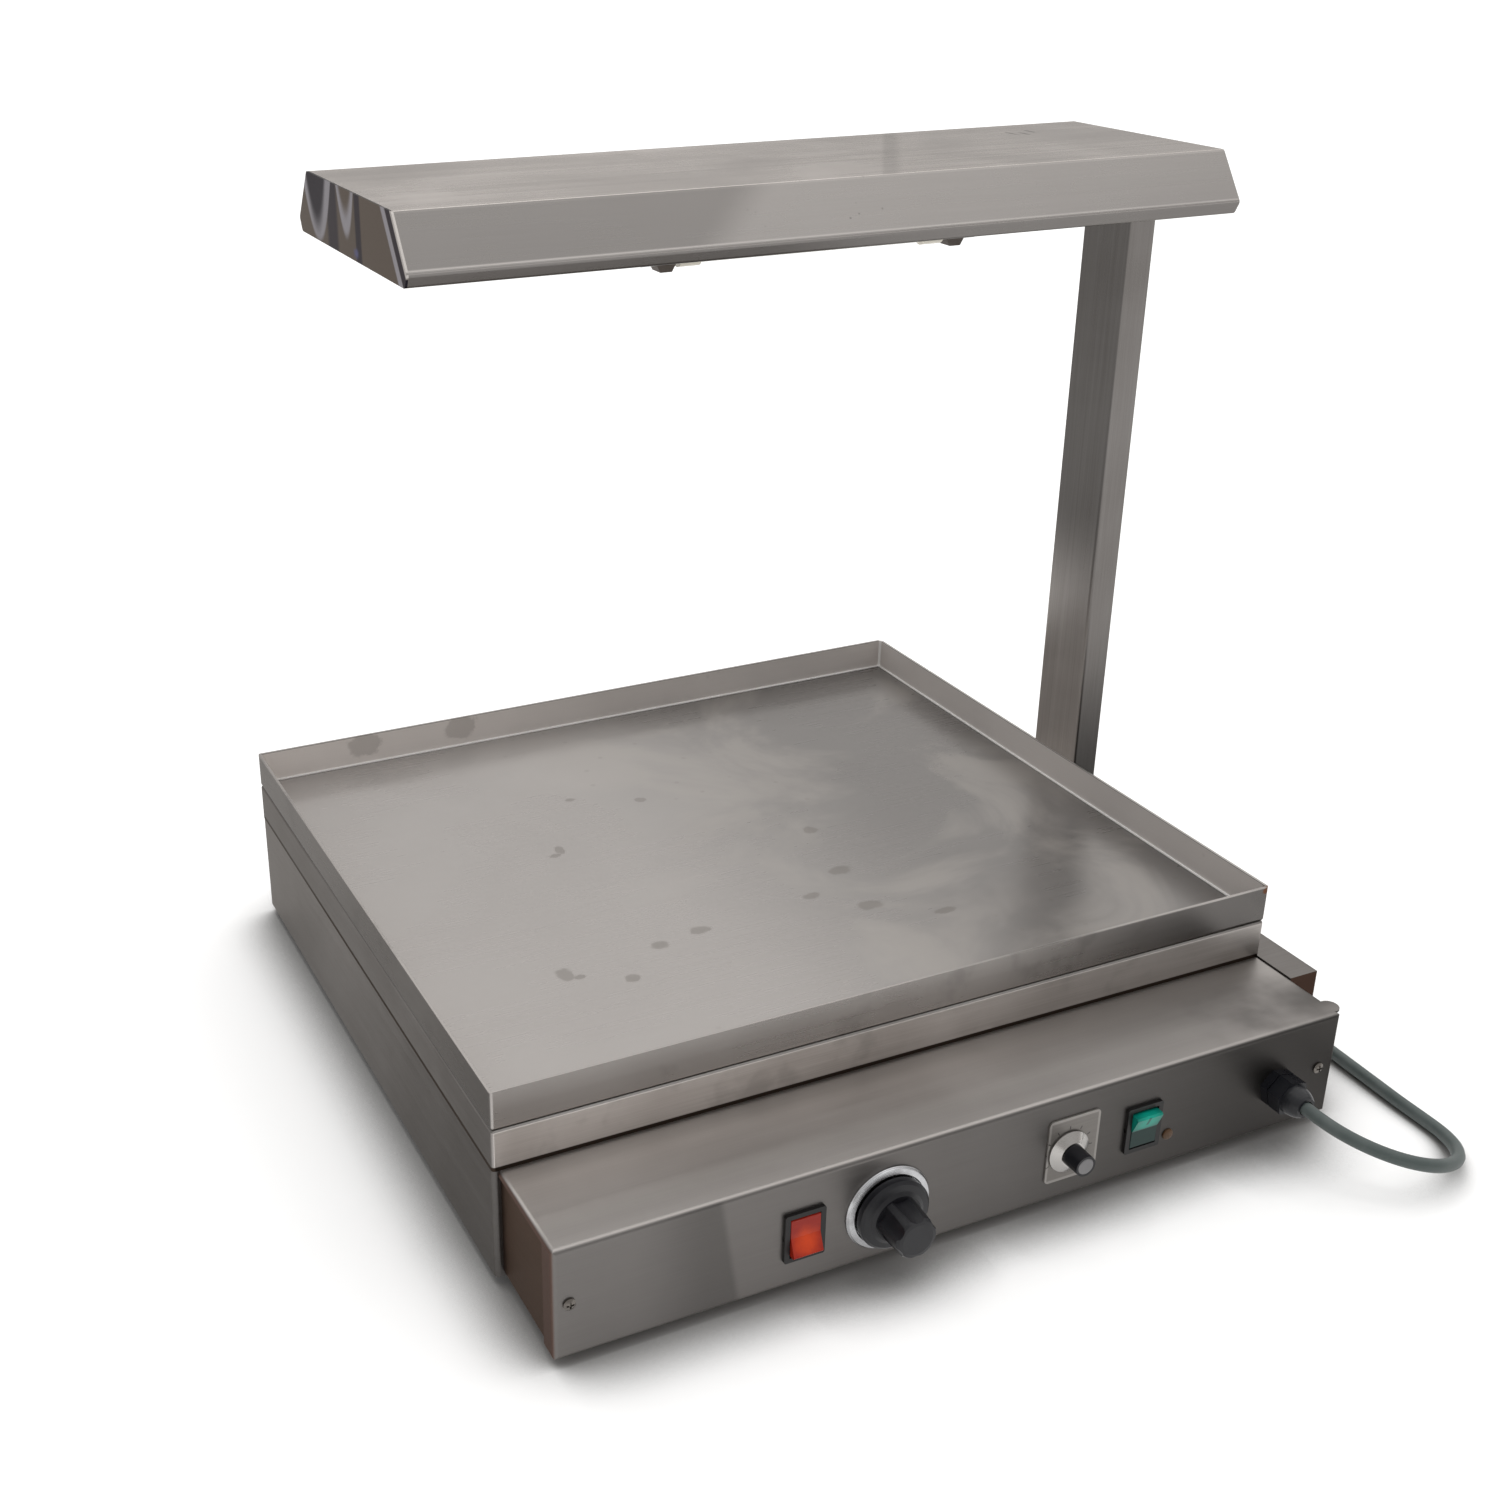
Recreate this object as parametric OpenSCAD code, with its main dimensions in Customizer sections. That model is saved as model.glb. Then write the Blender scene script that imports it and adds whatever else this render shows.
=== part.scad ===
// Heat lamp warming tray: a heated tray on a folded steel base, with controls along
// the front and a lamp hood that one post at the right carries. Millimetres, Z up.
// X runs left to right along the front, and Y runs from the front to the back.

/* [Base] */
// Width of the tray, the plate housing and the base
body_w = 500; // [460:1:560]
// Depth of the tray, the plate housing and the base
body_d = 440; // [400:1:500]
// Height of the base and the control box
base_h = 68; // [64:1:80]
// Height of the housing of the heated plate
plate_h = 25; // [24:0.5:34]
// Height of the rubber feet under the base
foot_h = 6; // [4:0.5:12]
// Thickness of the folded steel sheet
sheet = 1.2; // [1:0.1:1.5]
// Outer radius of the folds
bend = 2; // [1.6:0.1:3]

/* [Tray] */
// Height of the tray's upstand
tray_h = 23.5; // [18:0.5:40]
// Thickness of the tray
tray_sheet = 1.5; // [1.2:0.1:2]

/* [Control box] */
// Depth of the control box, in front of the base
box_d = 70; // [66:1:90]
// How far the box's left end is set in from the base
box_inset = 3; // [0:0.5:8]
// How far the longest knob reaches from the front panel
knob_reach = 30; // [28:0.5:36]
// Height of the middle of the controls above the base's lower edge
control_h = 32; // [30:0.5:36]

/* [Places along the front, from the left edge] */
// Middle of the red switch
red_at = 143.5; // [120:0.5:150]
// Middle of the energy regulator
regulator_at = 194; // [185:0.5:230]
// Middle of the lamp dimmer
dimmer_at = 309.5; // [260:0.5:320]
// Middle of the green switch
green_at = 360.5; // [350:0.5:362]
// Middle of the indicator lamp
indicator_at = 380; // [378:0.5:390]
// Middle of the cable gland
gland_at = 456.5; // [420:0.5:460]

/* [Post and hood] */
// Width of the duct beside the base
side_w = 22; // [22:0.5:26]
// How far the duct reaches in front of the base
duct_front = 28; // [10:1:40]
// Width of the post
post_w = 20; // [16:0.5:20]
// Depth of the post
post_d = 45; // [40:1:50]
// Middle of the post behind the base's front
post_at = 214.5; // [190:0.5:250]
// Top of the hood above the surface that the unit stands on
hood_top = 530; // [480:5:600]
// Height of the hood
hood_h = 34; // [34:1:50]
// Width of the hood's flat top, front to back
hood_flat = 142; // [140:1:160]
// Width of the hood at its widest
hood_wide = 180; // [176:1:210]
// Gap between the base's left side and the hood's left end
hood_left = 19; // [0:1:40]
// Distance between the middles of the two lamps
lamp_pitch = 73; // [70:1:76]
// Length of each lamp, over its ceramic caps
lamp_l = 165; // [140:1:189]

/* [Mains cord] */
// Diameter of the cord
cord_d = 8; // [7.5:0.1:8.2]
// Mean radius of the cord's coil
coil_r = 42; // [40:1:46]

/* [Hidden] */
$fn = 48;

// Planes of the base: left, right, front and back, with the whole footprint centred
left = -(body_w + side_w) / 2;
right = left + body_w;
side = right + side_w;
front = -(body_d - box_d - knob_reach) / 2;
back = front + body_d;
panel = front - box_d;
// Levels: lower edge of the base, seam under the housing, seam under the tray, tray rim
z_base = foot_h;
z_seam = z_base + base_h;
z_hot = z_seam + plate_h;
z_rim = z_hot + tray_h;
z_control = z_base + control_h;
// Running gap between a moving piece and what it passes
play = 0.3;
// Radial clearance of a screw in its hole, and play on the diameter in a tapped one
hole_play = 0.25;
tap_play = 0.1;
// Radius of the folded housing's upright corners
corner = 3;
// Width of the inward flanges of the folded boxes
flange = 12;

// Ranges along one axis: of a size about a middle, and of a size from a start
function about(middle, size) = [middle - size / 2, middle + size / 2];
function from(start, size) = [start, start + size];

// A box from its ranges along X, Y and Z
module span(x, y, z)
  translate([x[0], y[0], z[0]]) cube([x[1] - x[0], y[1] - y[0], z[1] - z[0]]);

// A flat rectangle with round corners, from its ranges along X and Y
module round_rect(x, y, r) {
  translate([x[0] + r, y[0]]) square([x[1] - x[0] - 2 * r, y[1] - y[0]]);
  translate([x[0], y[0] + r]) square([x[1] - x[0], y[1] - y[0] - 2 * r]);
  for (cx = [x[0] + r, x[1] - r], cy = [y[0] + r, y[1] - r])
    translate([cx, cy]) circle(r);
}

// A plate or block with round upright corners
module round_plate(x, y, z, r)
  translate([0, 0, z[0]]) linear_extrude(z[1] - z[0]) round_rect(x, y, r);

// A box whose upright corners and lower edges are folds of radius r
module folded_block(x, y, z, r) {
  round_plate(x, y, [z[0] + r, z[1]], r);
  span(x + [r, -r], y + [r, -r], [z[0], z[0] + 2 * r]);
  for (cy = [y[0] + r, y[1] - r])
    translate([x[0] + r, cy, z[0] + r]) rotate([0, 90, 0])
      cylinder(r = r, h = x[1] - x[0] - 2 * r);
  for (cx = [x[0] + r, x[1] - r]) {
    translate([cx, y[0] + r, z[0] + r]) rotate([-90, 0, 0])
      cylinder(r = r, h = y[1] - y[0] - 2 * r);
    for (cy = [y[0] + r, y[1] - r]) translate([cx, cy, z[0] + r]) sphere(r);
  }
}

// The same box the other way up, with its folds along the top
module capped_block(x, y, z, r)
  translate([0, 0, z[0] + z[1]]) mirror([0, 0, 1]) folded_block(x, y, z, r);

// Points and directions along a folded strip: its fold lines p, with a radius r at each
function heading(a, b) = atan2(b[1] - a[1], b[0] - a[0]);
function swing(a) = a > 180 ? a - 360 : a < -180 ? a + 360 : a;
function beside(a) = [-sin(a), cos(a)];
function fold(p, i, r, steps) =
  let (a = heading(p[i - 1], p[i]), by = swing(heading(p[i], p[i + 1]) - a),
       way = sign(by), trim = r * tan(abs(by) / 2),
       start = p[i] - trim * [cos(a), sin(a)], centre = start + way * r * beside(a))
  [for (k = [0:steps]) let (now = a + by * k / steps)
    [centre - way * r * beside(now), now]];
function folded_line(p, r, steps = 5) = let (last = len(p) - 1) concat(
  [[p[0], heading(p[0], p[1])]],
  [for (i = [1:last - 1]) each fold(p, i, r, steps)],
  [[p[last], heading(p[last - 1], p[last])]]);

// The section of a sheet of thickness t, folded along the line p
module folded_section(p, t, r, steps = 5) {
  line = folded_line(p, r, steps);
  last = len(line) - 1;
  polygon(concat(
    [for (e = line) e[0] + t / 2 * beside(e[1])],
    [for (i = [last:-1:0]) line[i][0] - t / 2 * beside(line[i][1])]));
}

// A section drawn in Y and Z, carried along X from a to b
module along_x(a, b)
  translate([a, 0, 0]) rotate([90, 0, 90]) linear_extrude(b - a) children();

// A section drawn in X and Z, carried along Y from a to b
module along_y(a, b)
  translate([0, b, 0]) rotate([90, 0, 0]) linear_extrude(b - a) children();

// Places a control that is drawn with its axis along +Z, out of the panel's face
module on_panel(at, h = control_h)
  translate([left + at, panel, z_base + h]) rotate([90, 0, 0]) children();

// Sizes of the controls where they pass through the panel
switch_w = 24;
switch_h = 30;
switch_hole = [21.6, 27.6];
bezel_t = 2.2;
regulator_hole = 10.4;
dimmer_hole = 7.4;
gland_thread = 16;
indicator_d = 7;
screw_d = 4;
screw_h = 34;
screw_in = 12;

// A round cutter through the sheet that lies at z = 0
through = 4;
module punch(d) translate([0, 0, -through]) cylinder(d = d, h = 2 * through);

// The openings cut in the front panel for its controls
module panel_openings() {
  for (at = [red_at, green_at])
    on_panel(at) translate([0, 0, -through])
      linear_extrude(2 * through) square(switch_hole, center = true);
  for (hole = [[regulator_at, regulator_hole], [dimmer_at, dimmer_hole]])
    on_panel(hole[0]) punch(hole[1]);
  on_panel(indicator_at, indicator_h) punch(indicator_d - 1);
  on_panel(gland_at, gland_h) punch(gland_thread + 2 * hole_play);
  screw_places() punch(screw_d + 2 * hole_play);
}
indicator_h = 20.5;
gland_h = 31;
module screw_places()
  for (at = [screw_in, body_w - screw_in]) on_panel(at, screw_h) children();

// Base: a folded box with inward flanges, open below and above
wire_window = [60, 34];
wire_sill = 20;
post_y = front + post_at;
module base_chassis() color("silver") {
  x = [left, right];
  y = [front, back];
  difference() {
    round_plate(x, y, [z_base, z_seam], corner);
    round_plate(x + sheet * [1, -1], y + sheet * [1, -1],
                [z_base + sheet, z_seam - sheet], corner - sheet);
    for (z = [[z_base - 1, z_base + sheet + 1], [z_seam - sheet - 1, z_seam + 1]])
      round_plate(x + flange * [1, -1], y + flange * [1, -1], z, corner);
    for (at = [regulator_at, green_at])
      translate([left + at - wire_window[0] / 2, front - 1, z_base + wire_sill])
        cube([wire_window[0], sheet + 2, wire_window[1]]);
    post_bolt_places() translate([0, 0, -6]) cylinder(d = bolt_d + 2 * hole_play, h = 12);
    translate([right - 6, post_y, z_base + base_h / 2]) rotate([0, 90, 0])
      cylinder(d = wire_bush, h = 12);
    cover_screw_places() cylinder(d = cover_screw_d + tap_play, h = 4);
  }
}
wire_bush = 12;

// Bottom plate with rows of vent slots, screwed under the base's flanges
cover_in = 2;
cover_screw_d = 3.2;
cover_screw_in = [40, 6.5];
vent = [50, 4];
vent_pitch = [80, 12];
vent_back = 70;
module cover_screw_places()
  for (x = [left + cover_screw_in[0], left + body_w / 2, right - cover_screw_in[0]],
       y = [front + cover_screw_in[1], back - cover_screw_in[1]])
    translate([x, y, z_base - 1]) children();
module base_cover() color("gainsboro") difference() {
  round_plate([left + cover_in, right - cover_in], [front + cover_in, back - cover_in],
              [z_base - sheet, z_base], corner);
  for (column = [-1.5:1:1.5], row = [0:5])
    translate([left + body_w / 2 + column * vent_pitch[0],
               back - vent_back - row * vent_pitch[1], z_base - 3])
      linear_extrude(6) round_rect(about(0, vent[0]), about(0, vent[1]), vent[1] / 2 - 0.05);
  cover_screw_places() translate([0, 0, -3])
    cylinder(d = cover_screw_d + 2 * hole_play, h = 6);
  foot_places() translate([0, 0, z_base - 3]) cylinder(d = screw_d + 2 * hole_play, h = 6);
}
module base_cover_screws() color("silver")
  cover_screw_places() translate([0, 0, 1 - sheet]) mirror([0, 0, 1])
    pan_screw(cover_screw_d, 8);

// A pan-head screw standing on the plane z = 0, its shank going down
module pan_screw(d, l, head = 8, head_h = 2.4) {
  translate([0, 0, -l]) cylinder(d = d, h = l + 0.2);
  difference() {
    intersection() {
      cylinder(d = head, h = head_h);
      translate([0, 0, head_h - head * 0.8]) sphere(head * 0.8);
    }
    for (turn = [0, 90]) rotate([0, 0, turn])
      translate([-head * 0.3, -0.5, head_h - 1.1]) cube([head * 0.6, 1, 2]);
  }
}

// Rubber feet: tapered pads, each held up by a screw in its hollow
foot_d = 26;
foot_in = 42;
foot_hollow_d = 10.8;
foot_hollow_h = 2;
foot_head = [8, 1.6];
foot_nut = [8, 3.2];
module foot_places()
  for (x = [left + foot_in, right - foot_in], y = [front + foot_in, back - foot_in])
    translate([x, y, 0]) children();
module feet() color("#1c1c1c") foot_places() rotate_extrude() difference() {
  polygon([[0, foot_hollow_h], [foot_hollow_d / 2, foot_hollow_h], [foot_hollow_d / 2, 0],
           [foot_d / 2 - 2.5, 0], [foot_d / 2 - 1.4, 0.6],
           [foot_d / 2, foot_h - sheet], [0, foot_h - sheet]]);
  square([screw_d / 2 + hole_play, foot_h]);
}
module foot_screws() color("silver")
  foot_places() {
    translate([0, 0, foot_hollow_h - foot_head[1]]) cylinder(d = foot_head[0], h = foot_head[1]);
    translate([0, 0, foot_hollow_h - 0.1]) cylinder(d = screw_d, h = foot_h + 2.5);
    translate([0, 0, foot_h]) cylinder(d = foot_nut[0], h = foot_nut[1], $fn = 6);
  }

// Control box: floor and end walls folded from one sheet, with flanges for its cover
box_left = left + box_inset;
box_clear = 0.4;
module control_box() color("#8d847c") {
  inner = [box_left + sheet + box_clear, right - sheet - box_clear];
  low = z_base + sheet + box_clear;
  high = z_seam - sheet - 2 * box_clear;
  difference() {
    union() {
      along_y(panel + sheet + box_clear + sheet, front) folded_section([
        [inner[0] + sheet / 2, high], [inner[0] + sheet / 2, low + sheet / 2],
        [inner[1] - sheet / 2, low + sheet / 2], [inner[1] - sheet / 2, high]],
        sheet, bend - sheet / 2);
      for (x = [[inner[0] + 0.6, inner[0] + flange + 4],
                [inner[1] - flange - 4, inner[1] - 0.6]])
        span(x, from(panel + sheet + box_clear, sheet), [low + bend, high]);
      for (x = [[inner[0], inner[0] + flange], [inner[1] - flange, inner[1]]])
        span(x, [front - sheet, front], [low + bend, high]);
    }
    screw_places() translate([0, 0, -8]) cylinder(d = screw_d + tap_play, h = 12);
  }
}

// Cover of the control box: its top, front and end returns, folded from one sheet,
// with the small round ear that the fold leaves at its right end
return_w = 12;
cover_fold = 3;
ear_d = 12;
ear_in = [1.5, 9];
module control_cover() color("#9c958e") {
  x = [box_left, right];
  difference() {
    union() {
      difference() {
        rounded_front(x, cover_fold);
        rounded_front(x + sheet * [1, -1], cover_fold - sheet, sheet);
        span([x[0] - 1, x[1] + 1], [panel + return_w, front + 1],
             [z_base - 1, z_seam - cover_fold]);
      }
      translate([right - ear_in[0], panel + ear_in[1], z_seam - sheet])
        cylinder(d = ear_d, h = sheet);
    }
    panel_openings();
  }
}
// The block of the box, set in by t, with round edges all about its front and its top
module rounded_front(x, r, t = 0) {
  y = [panel + t, front + t];
  z = [z_base + t, z_seam - t];
  intersection() {
    round_plate(x, [y[0], y[1] + 20], z, r);
    along_x(x[0], x[1]) union() {
      translate([y[0] + r, z[0]]) square([y[1] - y[0] - r, z[1] - z[0]]);
      translate([y[0], z[0] + r]) square([r, z[1] - z[0] - 2 * r]);
      for (h = [z[0] + r, z[1] - r]) translate([y[0] + r, h]) circle(r);
    }
    along_y(y[0], y[1] + 1) round_rect(x, z, r);
  }
}
module cover_screws() color("silver") screw_places() pan_screw(screw_d, 9, 6.8, 2.1);

// Housing of the heated plate: a folded cap whose flanges stand on the base
module plate_housing() color("#a09a93") {
  x = [left, right];
  y = [front, back];
  difference() {
    capped_block(x, y, [z_seam, z_hot], bend);
    capped_block(x + sheet * [1, -1], y + sheet * [1, -1],
                 [z_seam + sheet, z_hot - sheet], bend - sheet);
    round_plate(x + flange * [1, -1], y + flange * [1, -1],
                [z_seam - 1, z_seam + sheet + 1], corner);
  }
}

// Aluminium plate that spreads the element's heat under the housing's top
spread_in = 30;
spread_t = 3;
rod_d = 8;
z_spread = z_hot - sheet - spread_t;
z_rod = z_spread - rod_d / 2;
module heat_spreader() color("lightgray")
  round_plate([left + spread_in, right - spread_in], [front + spread_in, back - spread_in],
              [z_spread, z_hot - sheet], 8);

// Tubular heating element: runs along X, joined by half-round bends, with two terminals
runs = 6;
run_pitch = 60;
run_ends = [left + 60 + run_pitch / 2, right - 60 - run_pitch / 2];
function run_y(i) = front + body_d / 2 + (i - (runs - 1) / 2) * run_pitch;
module heating_element() color("#6e6257") {
  for (i = [0:runs - 1])
    translate([run_ends[0], run_y(i), z_rod]) rotate([0, 90, 0])
      cylinder(d = rod_d, h = run_ends[1] - run_ends[0]);
  for (i = [0:runs - 2])
    translate([i % 2 == 0 ? run_ends[0] : run_ends[1], (run_y(i) + run_y(i + 1)) / 2, z_rod])
      rotate([0, 0, i % 2 == 0 ? 90 : -90])
        rotate_extrude(angle = 180) translate([run_pitch / 2, 0]) circle(d = rod_d);
  for (i = [0, runs - 1]) translate([run_ends[1], run_y(i), z_rod]) rotate([0, 90, 0]) {
    cylinder(d = rod_d + 3, h = 16);
    cylinder(d = 4, h = 30);
  }
}

// Saddle straps that hold the rod against the spreader, one fold over each run
strap_w = 18;
module element_clamps() color("silver")
  for (x = [-120, 0, 120])
    translate([left + body_w / 2 + x, 0, 0])
      along_x(-strap_w / 2, strap_w / 2) folded_section(concat(
        [[run_y(0) - 18, z_spread - 0.5]],
        [for (i = [0:runs - 1]) each [
          [run_y(i) - 6.5, z_spread - 0.5], [run_y(i) - 4, z_rod - 5],
          [run_y(i) + 4, z_rod - 5], [run_y(i) + 6.5, z_spread - 0.5]]],
        [[run_y(runs - 1) + 18, z_spread - 0.5]]), 1, 1.2, 2);

// Mineral wool pad under the element, in the pan of the heat shield
pad_t = 7;
z_pad = z_seam + 3.4;
module insulation_pad() color("#d9d2a8") difference() {
  round_plate([left + 26, right - 26], [front + 26, back - 26], [z_pad, z_pad + pad_t], 6);
  cutout_place() translate([0, 0, -20]) cylinder(d = 26, h = 40);
  stud_places() cylinder(d = 7, h = 40);
  wire_ways() cylinder(d = way_d + 2, h = 40);
}

// Folded pan that carries the pad and closes the housing from below
module heat_shield() color("gainsboro") difference() {
  folded_block([left + 22, right - 22], [front + 22, back - 22],
               [z_pad - sheet - 0.2, z_spread - 3], 3);
  folded_block([left + 22 + sheet, right - 22 - sheet],
               [front + 22 + sheet, back - 22 - sheet], [z_pad - 0.2, z_spread], 3 - sheet);
  cutout_place() translate([0, 0, -25]) cylinder(d = 24, h = 40);
  stud_places() cylinder(d = 5.6, h = 40);
  wire_ways() cylinder(d = way_d, h = 40);
}
// Holes through which the element's two wires leave the pan
way_d = 10;
way_x = right - 44;
module wire_ways()
  for (y = [run_y(0), run_y(runs - 1)]) translate([way_x, y, z_seam - 10]) children();
stud_in = 44;
stud_d = 5;
module stud_places()
  for (x = [left + stud_in, right - stud_in], y = [front + stud_in, back - stud_in])
    translate([x, y, z_seam - 10]) children();
module shield_studs() color("silver") stud_places() {
  cylinder(d = stud_d, h = z_spread - z_seam + 10);
  translate([0, 0, 6]) cylinder(d = 9.2, h = 4, $fn = 6);
  translate([0, 0, 10]) cylinder(d = 12, h = z_pad - sheet - 0.2 - z_seam);
}

// Disc thermostat against the spreader, between two runs of the element
module cutout_place()
  translate([left + body_w / 2 + 60, run_y(2) + run_pitch / 2, z_spread]) children();
module thermal_cutout() color("#3a3a3a") cutout_place() {
  translate([0, 0, -4]) cylinder(d = 16, h = 4);
  translate([0, 0, -12]) cylinder(d = 14, h = 8.1);
  for (x = [-4, 4]) translate([x - 0.4, -3, -20]) cube([0.8, 6, 8.2]);
}

// Duct beside the base, which covers the foot of the post and the lamp's wiring
module side_duct() color("#8f8982") {
  y = [front - duct_front, back];
  z = [z_base, z_seam];
  difference() {
    duct_block([right - 10, side], y, z, 2.5);
    duct_block([right - 20, side - sheet], y + sheet * [1, -1], z + sheet * [1, -1],
               2.5 - sheet);
    span([right - 30, right], [y[0] - 1, y[1] + 1], [z[0] - 1, z[1] + 1]);
    post_section(0.4, [z_base + base_h / 2, z_seam + 1]);
  }
}
module duct_block(x, y, z, r) intersection() {
  round_plate(x, y, z, r);
  along_y(y[0], y[1]) round_rect(x, z, r);
}

// Post: rectangular tube, bolted to the base inside the duct
post_t = 1.5;
post_x = right;
bracket_t = 2.5;
post_top = hood_top - sheet - bracket_t;
module post_section(grow, z, in = 0)
  round_plate([post_x - grow + in, post_x + post_w + grow - in],
              about(post_y, post_d + 2 * grow - 2 * in), z, 2.6 - in);
bolt_d = 6;
bolt_nut = 11.5;
module post_bolt_places()
  for (y = [-12, 12], z = [14, base_h - 14])
    translate([right, post_y + y, z_base + z]) rotate([0, 90, 0]) children();
module post() color("#8b847d") difference() {
  post_section(0, [z_base + sheet + 1, post_top]);
  post_section(0, [z_base, post_top + 1], post_t);
  post_bolt_places() cylinder(d = bolt_d + 2 * hole_play, h = 4);
  translate([right - 2, post_y, z_base + base_h / 2]) rotate([0, 90, 0])
    cylinder(d = wire_bush, h = 6);
  hood_bolt_places() translate([0, 0, -2]) cylinder(d = hood_bolt_d + 2 * hole_play, h = 6);
  translate([right - 2, post_y, wire_z]) rotate([0, 90, 0]) cylinder(d = 8, h = 6);
}
module post_bolts() color("silver") post_bolt_places() {
  translate([0, 0, -sheet - 4]) cylinder(d = bolt_nut, h = 4, $fn = 6);
  translate([0, 0, -sheet - 0.1]) cylinder(d = bolt_d, h = 14);
  translate([0, 0, post_t]) cylinder(d = bolt_nut, h = 5, $fn = 6);
}

// Hood: one folded channel with sloping sides, a turned-down lip and a hem
z_hood = hood_top - hood_h;
hood_x = [left + hood_left, side];
hood_line = [
  [-hood_wide / 2 + 12, z_hood + sheet / 2], [-hood_wide / 2 + 4, z_hood + sheet / 2],
  [-hood_wide / 2 + sheet / 2, z_hood + 7], [-hood_flat / 2, hood_top - sheet / 2],
  [hood_flat / 2, hood_top - sheet / 2], [hood_wide / 2 - sheet / 2, z_hood + 7],
  [hood_wide / 2 - 4, z_hood + sheet / 2], [hood_wide / 2 - 12, z_hood + sheet / 2]];
module hood_shell() color("#a8a29b")
  translate([0, post_y, 0])
    along_x(hood_x[0] + sheet, hood_x[1] - sheet) folded_section(hood_line, sheet, 2);

// Flat ends of the hood, cut to its outline and welded over the channel's ends
module hood_end(x) translate([0, post_y, 0]) along_x(x, x + sheet)
  let (p = folded_line(hood_line, 2)) polygon(
    [for (e = p) e[0] + sheet / 2 * beside(e[1])]);
module hood_end_left() color("#b4b2b0") hood_end(hood_x[0]);
module hood_end_right() color("#a8a29b") hood_end(hood_x[1] - sheet);

// Angle that joins the post's head to the hood's top
bracket_w = 42;
bracket_l = 40;
bracket_h = 24;
hood_bolt_d = 5;
hood_nut = 9.2;
module hood_bracket() color("silver") difference() {
  union() {
    span([post_x - bracket_l, post_x + post_w - 1], about(post_y, bracket_w),
         [post_top, hood_top - sheet]);
    span([post_x - bracket_t, post_x], about(post_y, bracket_w),
         [post_top - bracket_h, hood_top - sheet]);
  }
  hood_bolt_places() punch(hood_bolt_d + 2 * hole_play);
  translate([post_x - 10, post_y, wire_z]) rotate([0, 90, 0]) cylinder(d = 10, h = 20);
}
module hood_bolt_places()
  for (y = [-13, 13]) translate([post_x, post_y + y, post_top - 10])
    rotate([0, 90, 0]) children();
module hood_bolts() color("silver") hood_bolt_places() {
  translate([0, 0, -bracket_t - 3.5]) cylinder(d = hood_nut, h = 3.5, $fn = 6);
  translate([0, 0, -bracket_t - 0.1]) cylinder(d = hood_bolt_d, h = 11);
  translate([0, 0, post_t]) cylinder(d = hood_nut, h = 4, $fn = 6);
}

// Reflector: bright sheet folded into two troughs under the hood's top
lamp_x = (hood_x[0] + hood_x[1]) / 2;
z_lamp = z_hood - 5.5;
reflector_l = 280;
reflector_t = 0.8;
trough_h = 24;
trough = [[-31, 5], [-20, trough_h], [20, trough_h], [31, 10]];
module reflector() color("whitesmoke") difference() {
  translate([0, post_y, 0])
    along_x(lamp_x - reflector_l / 2, lamp_x + reflector_l / 2) folded_section(concat(
      [for (p = trough) [p[0] - lamp_pitch / 2, z_hood + p[1]]],
      [for (i = [3:-1:0]) [lamp_pitch / 2 - trough[i][0], z_hood + trough[i][1]]]),
      reflector_t, 1.6);
  holder_places() translate([0, 0, 14]) cylinder(d = screw_d + 2 * hole_play, h = 30);
}

// Lamps: quartz tubes with a coiled filament, ceramic caps and contact pins
cap_l = 12.3;
cap_d = 13;
tube_d = 10;
module lamp_places()
  for (y = [-lamp_pitch / 2, lamp_pitch / 2])
    translate([lamp_x, post_y + y, z_lamp]) rotate([0, 90, 0]) children();
module lamp_tubes() color("#e9e4da") lamp_places() difference() {
  translate([0, 0, -lamp_l / 2 + cap_l]) cylinder(d = tube_d, h = lamp_l - 2 * cap_l);
  translate([0, 0, -lamp_l / 2]) cylinder(d = tube_d - 2.4, h = lamp_l);
}
module lamp_filaments() color("#6b6b70") lamp_places()
  translate([0, 0, -lamp_l / 2 + cap_l]) cylinder(d = 2.4, h = lamp_l - 2 * cap_l);
module lamp_caps() color("#e8e1d2") lamp_places() for (end = [0, 1]) mirror([0, 0, end]) {
  translate([0, 0, lamp_l / 2 - cap_l]) difference() {
    cylinder(d = cap_d, h = cap_l);
    for (s = [-1, 1]) translate([-cap_d, s * 8.2 - 3, 3]) cube([2 * cap_d, 6, 6.5]);
  }
  translate([0, 0, lamp_l / 2]) cylinder(d = 3, h = 3.4);
}

// Lamp holders: dark ceramic blocks with tapered tips, each on a steel bracket
holder_w = 12;
holder_depth = 10;
holder_gap = 2.5;
holder_low = -7.8;
module holder_places()
  for (y = [-lamp_pitch / 2, lamp_pitch / 2], end = [-1, 1])
    translate([lamp_x, post_y + y, z_lamp]) mirror([end < 0 ? 1 : 0, 0, 0])
      translate([lamp_l / 2 + holder_gap + holder_w / 2, 0, 0]) children();
module lamp_holders() color("#3b302a") holder_places() difference() {
  translate([0, holder_depth / 2, 0]) rotate([90, 0, 0]) linear_extrude(holder_depth)
    polygon([[-holder_w / 2 + 2.6, holder_low], [holder_w / 2 - 2.6, holder_low],
             [holder_w / 2, holder_low + 4.5], [holder_w / 2, 12], [-holder_w / 2, 12],
             [-holder_w / 2, holder_low + 4.5]]);
  translate([-holder_w / 2 - 1, 0, 0]) rotate([0, 90, 0]) cylinder(d = 4, h = 5);
  translate([holder_w / 2 - 2, -3, -4.4]) cube([3, 6, 0.8]);
}
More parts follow.
